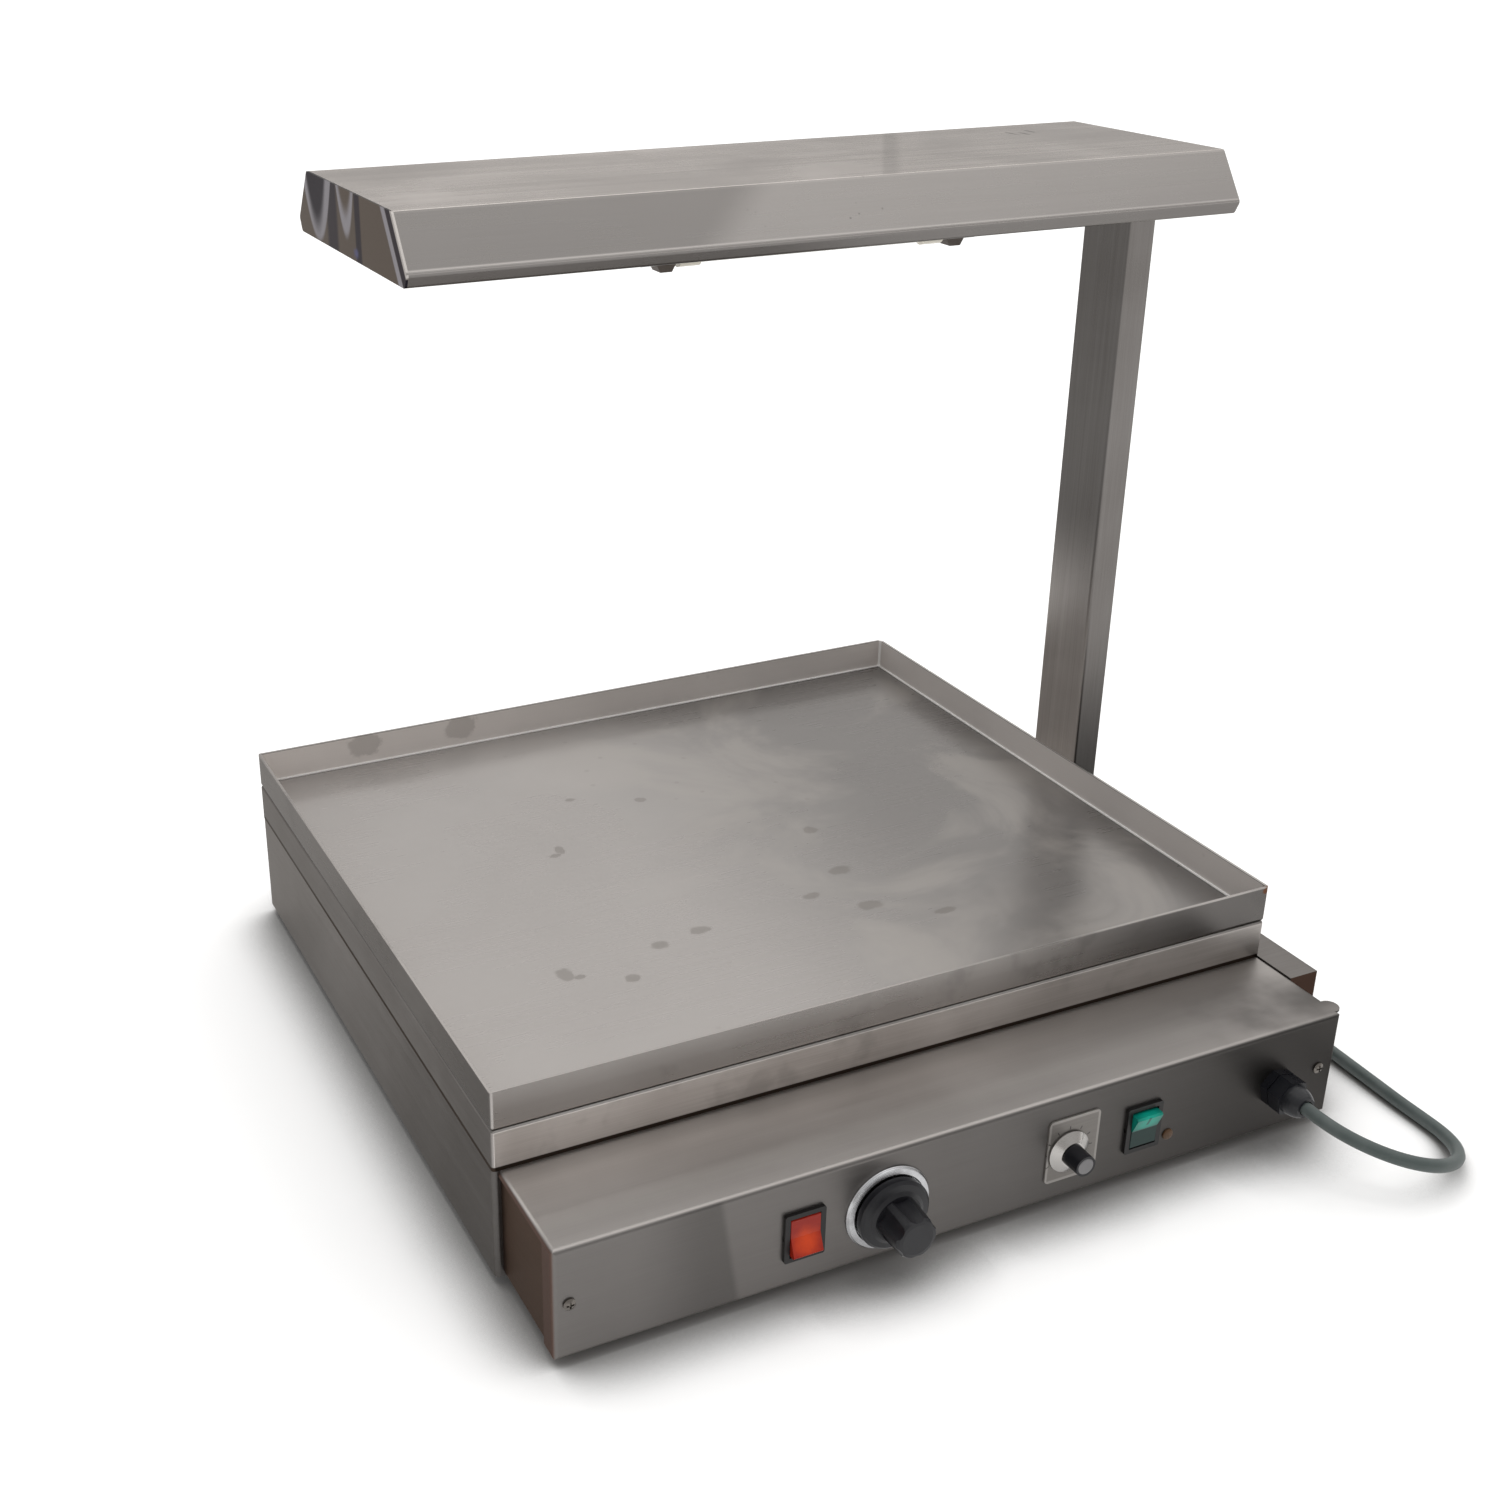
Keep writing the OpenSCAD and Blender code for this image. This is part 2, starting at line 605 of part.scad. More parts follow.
module holder_brackets() color("silver") holder_places() {
  translate([0, 6, 0]) rotate([90, 0, 0]) linear_extrude(12) folded_section(
    [[holder_w / 2 + 0.5, 3], [holder_w / 2 + 0.5, 12.5], [-holder_w / 2, 12.5]], 1, 1.1);
  translate([holder_w / 2 - 2, -3, -4.4]) cube([10, 6, 0.8]);
  bolt_h = hood_top - sheet - z_lamp;
  trough_z = z_hood + trough_h - z_lamp;
  translate([0, 0, 13]) cylinder(d = screw_d, h = bolt_h - 13);
  translate([0, 0, 13]) cylinder(d = 7, h = trough_z - reflector_t / 2 - 13);
  translate([0, 0, trough_z + reflector_t / 2])
    cylinder(d = 7, h = bolt_h - trough_z - reflector_t / 2);
}

// Ceramic terminal block under the hood's top, between the post and the reflector
block_x = [168, 198];
wire_z = post_top - 14;
pole_pitch = 10;
upper_row = 5.4;
module lamp_terminal_block() color("#ece6d8") translate([0, post_y, 0]) difference() {
  union() {
    span(block_x, about(0, 30), [wire_z - 4, hood_top - 10]);
    span(block_x + [4, -4], about(0, 24), [hood_top - 12, hood_top - sheet]);
  }
  for (y = [-1, 0, 1]) translate([0, y * pole_pitch, wire_z]) {
    translate([block_x[0] - 1, 0, 0]) rotate([0, 90, 0]) cylinder(d = 4, h = 32);
    for (x = [block_x[0] + 7, block_x[1] - 7]) translate([x, 0, -5]) cylinder(d = 4, h = 5);
    translate([block_x[0] - 1, 0, upper_row]) rotate([0, 90, 0]) cylinder(d = 4, h = 10);
  }
}

// Wires from the dimmer through the base, up the post and along the hood to the lamps
wire_d = 3;
riser_x = post_x + post_w / 2 + 0.5;
riser_route = [
  [64, -205, 46], [80, -190, 44], [99, -172, 42], [116, -150, 40], [150, -105, 40],
  [190, -45, 40], [212, 5, 40], [222, 30, 40], [230, 41, 40], [238, 44, 40],
  [243, 44.5, 41], [247, 44.5, 45], [riser_x, 44.5, 52], [riser_x, 44.5, 300],
  [riser_x, 44.5, wire_z - 12], [247, 44.5, wire_z - 5], [243, 44.5, wire_z - 1],
  [238, 44.5, wire_z], [228, 44.5, wire_z]];
// The last points of each of the two, on the side s of the post's middle
function riser_end(s) = [[214, post_y + s * 7, wire_z], [202, post_y + s * 9.6, wire_z],
                         [186, post_y + s * pole_pitch, wire_z]];
near_lead = [[176, 10, wire_z], [166, 10.4, wire_z], [152, 17, 512], [140, 26, 507],
             [130, 33, 498], [122, 36.5, 491], [115, 36.5, 488.4], [108, 36.5, 488]];
far_lead = [[176, 10, 517.7], [166, 10.4, 517.8], [159, 14, 520], [151, 19, 523.4],
            [130, 26, 524.3], [60, 28, 524.3], [-60, 28, 524.3], [-122, 28, 524.3],
            [-134, 29, 522.5], [-141, 31, 516], [-142, 33, 507], [-138, 35, 498],
            [-128, 36.5, 491.5], [-112, 36.5, 488.6], [-97, 36.5, 488], [-89, 36.5, 488]];
module lamp_wiring() color("#e6ddc4") {
  for (s = [-1, 1])
    swept_tube(concat([for (p = riser_route) p + [0, s * 2.2, 0]], riser_end(s)),
               wire_d, 6, [0, 1, 0]);
  translate([0, post_y, 0]) for (s = [-1, 1], route = [near_lead, far_lead])
    swept_tube([for (p = route) [p[0], s * p[1], p[2]]], wire_d * 0.8, 6, [0, 1, 0]);
}

// Wires of the mains side: cord cores, switch, regulator and element
core_d = 2.6;
cord_in = 17;
element_live = [[-60, -197, 34], [-50, -185, 38], [-45, -168, 42], [-20, -130, 45],
                [60, -105, 50], [150, -100, 56], [188, -100, 66], [195, -100, 76],
                [194, -100, 85], [188, -100, 90], [180, -100, 90.8]];
element_back = [[180, 200, 90.8], [188, 200, 90], [194, 200, 85], [195, 200, 70],
                [190, 180, 62], [170, 80, 54], [140, -60, 52], [112, -150, 51],
                [105, -172, 49], [98, -190, 46], [94, -211, 42]];
switch_live = [[157, -207, 14], [150, -218, 14], [100, -224, 13], [0, -224, 13],
               [-80, -222, 13], [-104, -218, 16], [-110, -214, 22], [-111, -211, 28]];
switch_green = [[145, -207, 14], [138, -216, 16], [124, -219, 22], [112, -215, 28],
                [106, -211, 30]];
switch_out = [[-111, -210, 47], [-106, -202, 51], [-96, -197, 52], [-86, -197, 50],
              [-79, -198, 47]];
cord_core = [[194.5, -223, 36], [192, -215, 30], [187, -210, 22], [182, -207, 14]];
module mains_wiring() color("#8a4a2c") {
  for (route = [element_live, element_back])
    swept_tube(route, core_d, 6, [0, 1, 0]);
  for (route = [switch_live, switch_green, switch_out])
    swept_tube(route, core_d, 6, [0, 0, 1]);
  for (s = [-3, 0, 3])
    swept_tube([for (p = cord_core) p + [s, 0, 0]], core_d, 6, [1, 0, 0]);
  on_panel(gland_at, gland_h) translate([0, 0, -cord_in]) cylinder(d = cord_d, h = cord_in + 23);
}

// Energy regulator: moulded body with a threaded bush through the panel, and terminals
reg_body = [38, 44, 32];
module regulator_body() color("#2b2a28") on_panel(regulator_at) difference() {
  union() {
    translate([0, 0, -sheet - reg_body[2]]) linear_extrude(reg_body[2])
      round_rect(about(0, reg_body[0]), about(0, reg_body[1]), 3);
    translate([0, 0, -sheet - 1]) cylinder(d = regulator_hole - 0.4, h = sheet + 1 + bush_reach);
    for (x = [-12, -4, 4, 12], y = [-1, 1]) if (x != 4 || y > 0)
      translate([x - 3.15, y * 12 - 0.4, -sheet - reg_body[2] - 8]) cube([6.3, 0.8, 9]);
  }
  translate([0, 0, -20]) cylinder(d = 6 + 0.1, h = 30);
}
bush_reach = 3.1;
module control_nuts() color("silver") {
  on_panel(regulator_at) bush_nut(regulator_hole, 14, [1.4, bush_reach]);
  on_panel(dimmer_at) bush_nut(dimmer_hole, 10, [1, bush_reach - 0.2]);
}
// A thin hexagonal nut, w across its flats
module bush_nut(hole, w, z) translate([0, 0, z[0]]) difference() {
  cylinder(d = w / cos(30), h = z[1] - z[0], $fn = 6);
  translate([0, 0, -1]) cylinder(d = hole - 0.3, h = 5);
}
module regulator_bezel() color("#d5d6d8") on_panel(regulator_at) difference() {
  rotate_extrude() polygon([[regulator_hole / 2, 0], [25.5, 0], [25.5, 1], [24.4, 2.3],
                            [21.5, 2.8], [20.8, 1.4], [regulator_hole / 2, 1.4]]);
  translate([0, 0, -1]) cylinder(d = regulator_hole, h = 6);
}

// Knob: a round skirt and a grip with six scallops, on its shaft
grip_d = 25;
skirt_d = 42;
skirt_from = 3.4;
scallop_from = 11.6;
module regulator_knob() color("#232225") on_panel(regulator_at) difference() {
  union() {
    translate([0, 0, skirt_from]) rotate_extrude() polygon(
      [[0, 0], [skirt_d / 2 - 0.8, 0], [skirt_d / 2, 0.8], [skirt_d / 2, 4.4],
       [skirt_d / 2 - 1.6, 5.8], [skirt_d / 2 - 5, 6.6], [grip_d / 2 + 1.4, 8], [0, 8.2]]);
    difference() {
      translate([0, 0, 5]) rotate_extrude() polygon([[0, 0], [grip_d / 2 + 1, 0],
        [grip_d / 2 - 0.4, knob_reach - 7], [grip_d / 2 - 1.4, knob_reach - 5.4],
        [grip_d / 2 - 3.4, knob_reach - 5], [0, knob_reach - 5]]);
      for (i = [0:5]) rotate([0, 0, 60 * i + 30])
        translate([grip_d / 2 + 6.4, 0, scallop_from]) cylinder(r = 8.4, h = knob_reach);
    }
  }
  translate([0, 0, 2]) cylinder(d = 12.4, h = 5);
  translate([0, 0, 2]) cylinder(d = 6, h = 20);
}
module regulator_shaft() color("silver") on_panel(regulator_at)
  translate([0, 0, -18]) cylinder(d = 6, h = 38);

// Dimmer: circuit board with its potentiometer, heat sink and choke
module dimmer_module() color("#4c5a4a") on_panel(dimmer_at) difference() {
  union() {
    translate([0, 0, -sheet - 7]) cylinder(d = 17, h = 7);
    translate([0, 0, -sheet - 1]) cylinder(d = dimmer_hole - 0.4, h = sheet + 1 + bush_reach);
    translate([-20, -24, -sheet - 9]) cube([40, 42, 2.1]);
    translate([-16, -22, -sheet - 33]) cube([3, 34, 24.1]);
    for (i = [0:3]) translate([-13.1, -21 + i * 10, -sheet - 31]) cube([5, 2, 20]);
    translate([6, 4, -sheet - 21]) cylinder(d = 16, h = 12.1);
    translate([0, -20, -sheet - 19]) cube([16, 9, 10.1]);
  }
  translate([0, 0, -12]) cylinder(d = 6.1, h = 30);
}

// Square scale plate under the dimmer's knob
plate_size = [34, 41];
plate_off = [3, 1.5];
module dimmer_plate() color("#b9bcbd") on_panel(dimmer_at)
  linear_extrude(1) difference() {
    round_rect(about(plate_off[0], plate_size[0]), about(plate_off[1], plate_size[1]), 3);
    circle(d = dimmer_hole);
  }
module dimmer_skirt() color("#cfd0d2") on_panel(dimmer_at) difference() {
  translate([0, 0, 1.6]) rotate_extrude() polygon(
    [[6, 0], [13, 0], [13, 0.7], [7.6, 4], [6, 4]]);
  translate([0, 0, 1]) cylinder(d = 12, h = 6);
}
dimmer_reach = 17;
module dimmer_knob() color("#1f1e20") on_panel(dimmer_at) difference() {
  union() {
    translate([0, 0, 3.4]) cylinder(d = 11.9, h = 3);
    translate([0, 0, 5.8]) cylinder(d1 = 13.2, d2 = 12.6, h = dimmer_reach - 5.8, $fn = 72);
  }
  translate([0, 0, 3]) cylinder(d = 6, h = 11);
  translate([0, 0, dimmer_reach - 0.8]) cylinder(d = 10, h = 2);
}
module dimmer_knob_cap() color("#c9cacc") on_panel(dimmer_at)
  translate([0, 0, dimmer_reach - 0.8]) rotate_extrude()
    polygon([[0, 0], [5, 0], [5, 0.7], [4.6, 1], [0, 1]]);
module dimmer_shaft() color("silver") on_panel(dimmer_at)
  translate([0, 0, -10]) cylinder(d = 6, h = 24);

// Rocker switches: a bezel, a body with latches and blade terminals, and the rocker
rocker_w = 17.4;
rocker_h = 24;
rocker_tilt = 12;
pocket = [rocker_w + 2 * play, rocker_h + 2 * play];
module switch_body() difference() {
  union() {
    linear_extrude(bezel_t) round_rect(about(0, switch_w), about(0, switch_h), 1.2);
    translate([0, 0, -20]) linear_extrude(20.1) square(switch_hole - [0.6, 0.6], center = true);
    for (x = [-6, 6], y = [-9, 0, 9])
      translate([x - 0.4, y - 3.15, -28]) cube([0.8, 6.3, 8.1]);
  }
  translate([0, 0, -8]) linear_extrude(14) square(pocket, center = true);
  translate([0, 0, -11]) linear_extrude(4) square([rocker_w - 3, 12], center = true);
  rotate([0, 90, 0]) cylinder(d = 2.6, h = 30, center = true);
}
// The rocker's section: two flats that meet in a shallow valley, over a round belly
module rocker(tilt) rotate([tilt, 0, 0]) {
  rotate([0, 90, 0]) cylinder(d = 2.4, h = rocker_w + 1.6, center = true);
  translate([-rocker_w / 2, 0, 0]) rotate([90, 0, 90]) linear_extrude(rocker_w)
    polygon(concat(
      [[-rocker_h / 2 + 0.7, 3.4], [-rocker_h / 2 + 1.6, 4.6], [0, 2.6],
       [rocker_h / 2 - 1.6, 4.6], [rocker_h / 2 - 0.7, 3.4]],
      [for (a = [14:-4:-14]) [10.4 * sin(a) / sin(14), -1.6 - 3.2 * cos(a * 90 / 14)]]));
}
module red_switch_body() color("#1b1a1b") on_panel(red_at) switch_body();
module green_switch_body() color("#1b1a1b") on_panel(green_at) switch_body();
module red_rocker() color("#c03a1e") on_panel(red_at) rocker(-rocker_tilt);
module green_rocker() color("#159484") on_panel(green_at) rocker(rocker_tilt);

// Indicator: a small domed lens with its lamp body behind the panel
module indicator_lens() color("#5a3a26") on_panel(indicator_at, indicator_h)
  rotate_extrude() polygon(concat([[0, -14], [2.6, -14], [2.6, 0], [indicator_d / 2, 0]],
    [for (a = [0:15:90]) [indicator_d / 2 * cos(a), 0.5 + 1.3 * sin(a)]]));

// Cable gland: body through the panel, lock nut inside, seal and domed nut outside
gland_hex = 23.6;
module gland_body() color("#1d1c1e") on_panel(gland_at, gland_h) difference() {
  union() {
    translate([0, 0, -9]) cylinder(d = gland_thread, h = 9.1);
    rotate([0, 0, -15]) cylinder(d = gland_hex, h = 5.2, $fn = 6);
    translate([0, 0, 5]) cylinder(d = 14.6, h = 8);
  }
  translate([0, 0, -10]) cylinder(d = 9.6, h = 30);
}
module gland_locknut() color("#1d1c1e") on_panel(gland_at, gland_h)
  translate([0, 0, -sheet - 5]) difference() {
    cylinder(d = gland_hex + 2, h = 5, $fn = 6);
    translate([0, 0, -1]) cylinder(d = gland_thread + 0.1, h = 7);
  }
module gland_seal() color("#2c2b2d") on_panel(gland_at, gland_h)
  translate([0, 0, 13.4]) difference() {
    rotate_extrude() polygon([[0, 0], [6.7, 0], [6.7, 3], [5.6, 9], [0, 9]]);
    translate([0, 0, -1]) cylinder(d = cord_d + 0.2, h = 12);
  }
module gland_nut() color("#1d1c1e") on_panel(gland_at, gland_h) difference() {
  union() {
    translate([0, 0, 5.9]) rotate([0, 0, -15]) cylinder(d = gland_hex, h = 9.1, $fn = 6);
    translate([0, 0, 14.9]) rotate_extrude() polygon(concat([[0, 0]],
      [for (a = [0:10:60]) [2.9 + 6.6 * cos(a), 12.2 * sin(a)]], [[0, 12.2 * sin(60)]]));
  }
  translate([0, 0, 5]) cylinder(d = 15, h = 8.6);
  translate([0, 0, 13]) cylinder(d = 13.8, h = 3.5);
  translate([0, 0, 16.4]) cylinder(d1 = 13.8, d2 = 11.4, h = 6.1);
  translate([0, 0, 19]) cylinder(d = cord_d + 1, h = 20);
}

// Terminal block for the mains cord, screwed to the control box's floor
module terminal_block() color("#efece4")
  translate([left + 400, panel + 34, z_base + 2 * sheet + box_clear]) difference() {
    union() {
      cube([60, 18, 8]);
      for (i = [0:4]) translate([2 + 12 * i, 3, 7.9]) cube([8, 12, 8]);
    }
    for (i = [0:4]) translate([6 + 12 * i, -1, 5]) {
      rotate([-90, 0, 0]) cylinder(d = 4, h = 20);
      translate([0, 6, 0]) cylinder(d = 3.6, h = 14);
      translate([0, 14, 0]) cylinder(d = 3.6, h = 14);
    }
  }

// Tray: a lift-off pan that stands on the housing's top
module tray() color("#aaa49d") difference() {
  folded_block([left, right], [front, back], [z_hot, z_rim], bend);
  folded_block([left, right] + tray_sheet * [1, -1], [front, back] + tray_sheet * [1, -1],
               [z_hot + tray_sheet, z_rim + 5], bend - tray_sheet + 0.6);
}

// Mains cord: level out of the gland, round in a half-circle and down to the floor, and
// along the unit's right side to the coil
cord_z = cord_d / 2 + 0.2;
lead_at = [left + gland_at, panel - 35, z_base + gland_h];
run_x = 288;
coil_y = 340;
run_y0 = lead_at[1] + 25;
run_l = 575;
run_sway = 6;
turn_r = (run_x - lead_at[0]) / 2;
turn_steps = 12;
function ease(t) = t * t * (3 - 2 * t);
lead_route = concat(
  [lead_at + [0, 11.5, 0]],
  [for (i = [0:turn_steps]) let (a = 180 + 180 * i / turn_steps)
    [lead_at[0] + turn_r * (1 + cos(a)), lead_at[1] + turn_r * sin(a),
     lead_at[2] + (cord_z - lead_at[2]) * ease(i / turn_steps)]],
  [for (y = [0:25:run_l]) [run_x + run_sway * sin(180 * y / run_l), run_y0 + y, cord_z]],
  [[run_x, coil_y - 2, cord_z]]);

// One tube swept along points: rings square to the path, with flat ends
function flat_unit(v) = v / norm(v);
function along(p, i) = flat_unit(p[min(i + 1, len(p) - 1)] - p[max(i - 1, 0)]);
function ring(p, i, d, sides, up) =
  let (t = along(p, i), s = flat_unit(cross(t, up)), u = cross(s, t))
  [for (k = [0:sides - 1]) let (a = 360 * (k + 0.5) / sides)
    p[i] + d / 2 * (cos(a) * s + sin(a) * u)];
module swept_tube(p, d, sides, up = [0, 0, 1]) {
  n = len(p);
  last = (n - 1) * sides;
  polyhedron(
    [for (i = [0:n - 1]) each ring(p, i, d, sides, up)],
    concat(
      [for (k = [1:sides - 2]) [0, k + 1, k]],
      [for (k = [1:sides - 2]) [last, last + k, last + k + 1]],
      [for (i = [0:n - 2], k = [0:sides - 1], half = [0, 1])
        let (a = i * sides + k, b = i * sides + (k + 1) % sides)
        half == 0 ? [a, b, b + sides] : [a, b + sides, a + sides]]),
    convexity = 8);
}
module cord_lead() color("#3c403f") swept_tube(lead_route, cord_d, 8);

// The coil: it spirals in on the floor, climbs a layer and spirals out on top
coil_turns = 4.25;
coil_pitch = cord_d + 0.6;
coil_mid = coil_turns / 2;
coil_out = coil_r + coil_pitch * coil_mid / 2;
coil_at = [run_x - coil_out, coil_y];
function coil_point(u) =
  let (r = coil_out - coil_pitch * (coil_mid - abs(u - coil_mid)),
       climb = ease(min(max((u - coil_mid) * 2 + 0.5, 0), 1)))
  [coil_at[0] + r * cos(360 * u), coil_at[1] + r * sin(360 * u), cord_z + coil_pitch * climb];
coil_rings = 24;
coil_bend = [for (i = [0:coil_turns * coil_rings]) coil_point(i / coil_rings)];
coil_path = concat([lead_route[len(lead_route) - 1]], coil_bend,
                   [coil_bend[len(coil_bend) - 1] - [2, 0, 0]]);
module cord_coil() color("#3c403f") swept_tube(coil_path, cord_d, 6);

// From the coil down to the floor, round in a quarter-circle and up a little to the plug:
// its offsets to the left, its offsets to the back and its heights
coil_end = coil_path[len(coil_path) - 1];
tail_r = 34;
tail_z = [4.4, 4.2, 4.2, 4.5, 5.2, 6.2];
tail_route = concat([coil_end], [
  for (q = concat(
    [[3, 0, coil_end[2]], [14, 0, 10.6], [30, 0, 7.4], [44.5, 0, 5.2]],
    [for (i = [0:5]) let (a = 15 * (i + 1))
      [44.5 + tail_r * sin(a), tail_r * (cos(a) - 1), tail_z[i]]],
    [for (i = [1:3]) [44.5 + tail_r, -tail_r - 26 / 3 * i, 6.2 + 3.2 / 3 * i]]))
    [coil_end[0] - q[0], coil_end[1] + q[1], q[2]]]);
module cord_tail() color("#3c403f") swept_tube(tail_route, cord_d, 8);

// Plug: moulded mains plug lying on its back, with three rectangular pins
plug_at = tail_route[len(tail_route) - 1];
plug_w = 50;
plug_l = 46;
plug_t = 22;
plug_neck = 14;
module plug_body() color("#1b1b1c") translate([plug_at[0], plug_at[1], 0]) difference() {
  union() {
    translate([0, -plug_l - 6, 0]) linear_extrude(plug_t) union() {
      round_rect([-plug_w / 2, plug_w / 2], [0, plug_l - 8], 6);
      translate([-plug_w / 2 + 6, plug_l - 16]) square([plug_w - 12, 16]);
      polygon([[-plug_w / 2, plug_l - 14], [-plug_w / 2 + 9, plug_l],
               [plug_w / 2 - 9, plug_l], [plug_w / 2, plug_l - 14]]);
    }
    translate([-plug_neck / 2, -6.1, plug_at[2] - plug_neck / 2])
      cube([plug_neck, 6.1, plug_neck]);
  }
  translate([-4, -plug_l + 12, plug_t - 2]) cylinder(d = 5, h = 4);
}
module plug_pins() color("#c8a64b")
  translate([plug_at[0], plug_at[1] - plug_l / 2 - 6, plug_t]) {
    translate([-2, -19, 0]) cube([4, 8, 22.7]);
    for (x = [-11.1, 11.1]) translate([x - 3.2, 5.2, 0]) cube([6.4, 4, 17.7]);
  }

// Length of the cord along its route, and the coil's least gap to itself
function path_l(p) = len(p) < 2 ? 0
  : [for (i = 0, sum = 0; i < len(p); i = i + 1,
       sum = sum + (i < len(p) ? norm(p[i] - p[i - 1]) : 0)) sum][len(p) - 1];
least = min([for (i = [0:len(coil_path) - 1], j = [0:len(coil_path) - 1])
  if (j - i > coil_rings / 2) norm(coil_path[i] - coil_path[j])]);
echo(cord_length = path_l(lead_route) + path_l(coil_path) + path_l(tail_route),
     coil_gap = least - cord_d);

base_chassis();
base_cover();
base_cover_screws();
feet();
foot_screws();
control_box();
control_cover();
cover_screws();
plate_housing();
heat_spreader();
heating_element();
element_clamps();
insulation_pad();
heat_shield();
shield_studs();
thermal_cutout();
side_duct();
post();
post_bolts();
hood_shell();
hood_end_left();
hood_end_right();
hood_bracket();
hood_bolts();
reflector();
lamp_tubes();
lamp_filaments();
lamp_caps();
lamp_holders();
holder_brackets();
lamp_terminal_block();
lamp_wiring();
mains_wiring();
regulator_body();
regulator_bezel();
dimmer_module();
dimmer_plate();
control_nuts();
red_switch_body();
green_switch_body();
indicator_lens();
gland_body();
gland_locknut();
gland_seal();
gland_nut();
terminal_block();
tray();
regulator_knob();
regulator_shaft();
dimmer_knob();
dimmer_skirt();
dimmer_knob_cap();
dimmer_shaft();
red_rocker();
green_rocker();
cord_lead();
cord_coil();
cord_tail();
plug_body();
plug_pins();
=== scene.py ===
import math
from functools import reduce

import bmesh
import bpy
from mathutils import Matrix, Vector


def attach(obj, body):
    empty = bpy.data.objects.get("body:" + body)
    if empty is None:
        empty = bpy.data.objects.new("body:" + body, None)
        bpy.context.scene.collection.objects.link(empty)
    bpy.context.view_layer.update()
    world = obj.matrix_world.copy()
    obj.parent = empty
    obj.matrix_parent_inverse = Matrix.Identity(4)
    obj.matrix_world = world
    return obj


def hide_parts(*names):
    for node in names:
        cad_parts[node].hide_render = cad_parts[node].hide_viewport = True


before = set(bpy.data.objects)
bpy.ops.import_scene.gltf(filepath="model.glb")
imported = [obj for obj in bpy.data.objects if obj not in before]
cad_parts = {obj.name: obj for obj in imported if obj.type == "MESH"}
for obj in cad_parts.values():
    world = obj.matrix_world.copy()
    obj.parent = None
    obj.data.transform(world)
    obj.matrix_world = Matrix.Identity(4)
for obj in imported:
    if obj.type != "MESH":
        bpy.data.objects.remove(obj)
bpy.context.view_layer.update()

# Camera: it stands in front of the unit's left corner, a little above the hood, where
# the straight edges of the photo meet those of the solid.
camera = bpy.data.objects.new("camera", bpy.data.cameras.new("camera"))
camera.data.lens = 46.09
camera.data.shift_x = 0.0776
camera.data.shift_y = -0.0080
camera.location = (-0.53286, -0.92201, 0.68404)
view_line = Vector((0.3846, 0.8231, -0.4178))
camera.rotation_euler = view_line.to_track_quat("-Z", "Y").to_euler()
bpy.context.scene.collection.objects.link(camera)
bpy.context.scene.camera = camera
bpy.context.scene.view_settings.view_transform = "Standard"


# Mains cord: three-core flex in a dark grey rubber sheath. It leaves the gland level, drops
# to the floor, runs along the right side and is wound into a round coil behind the unit.
class Link:
    """A shader socket that takes part in Python arithmetic."""

    def __init__(self, finish, socket):
        self.finish, self.socket = finish, socket

    def math(self, operation, *values):
        return self.finish.add("ShaderNodeMath", {"operation": operation},
                               dict(enumerate(values)))

    def __add__(self, other):
        return self.math("ADD", self, other)

    def __mul__(self, other):
        return self.math("MULTIPLY", self, other)

    def __sub__(self, other):
        return self.math("SUBTRACT", self, other)

    def __rsub__(self, other):
        return self.math("SUBTRACT", other, self)

    def __truediv__(self, other):
        return self.math("DIVIDE", self, other)

    __radd__ = __add__
    __rmul__ = __mul__

    def size(self):
        return self.math("ABSOLUTE", self)

    def most(self, other):
        return self.math("MAXIMUM", self, other)

    def fade(self, start, end, low=0.0, high=1.0):
        """low up to start, high from end on, and a smooth change between them."""
        return self.finish.add(
            "ShaderNodeMapRange", {"interpolation_type": "SMOOTHSTEP"},
            {"Value": self, "From Min": start, "From Max": end, "To Min": low, "To Max": high})


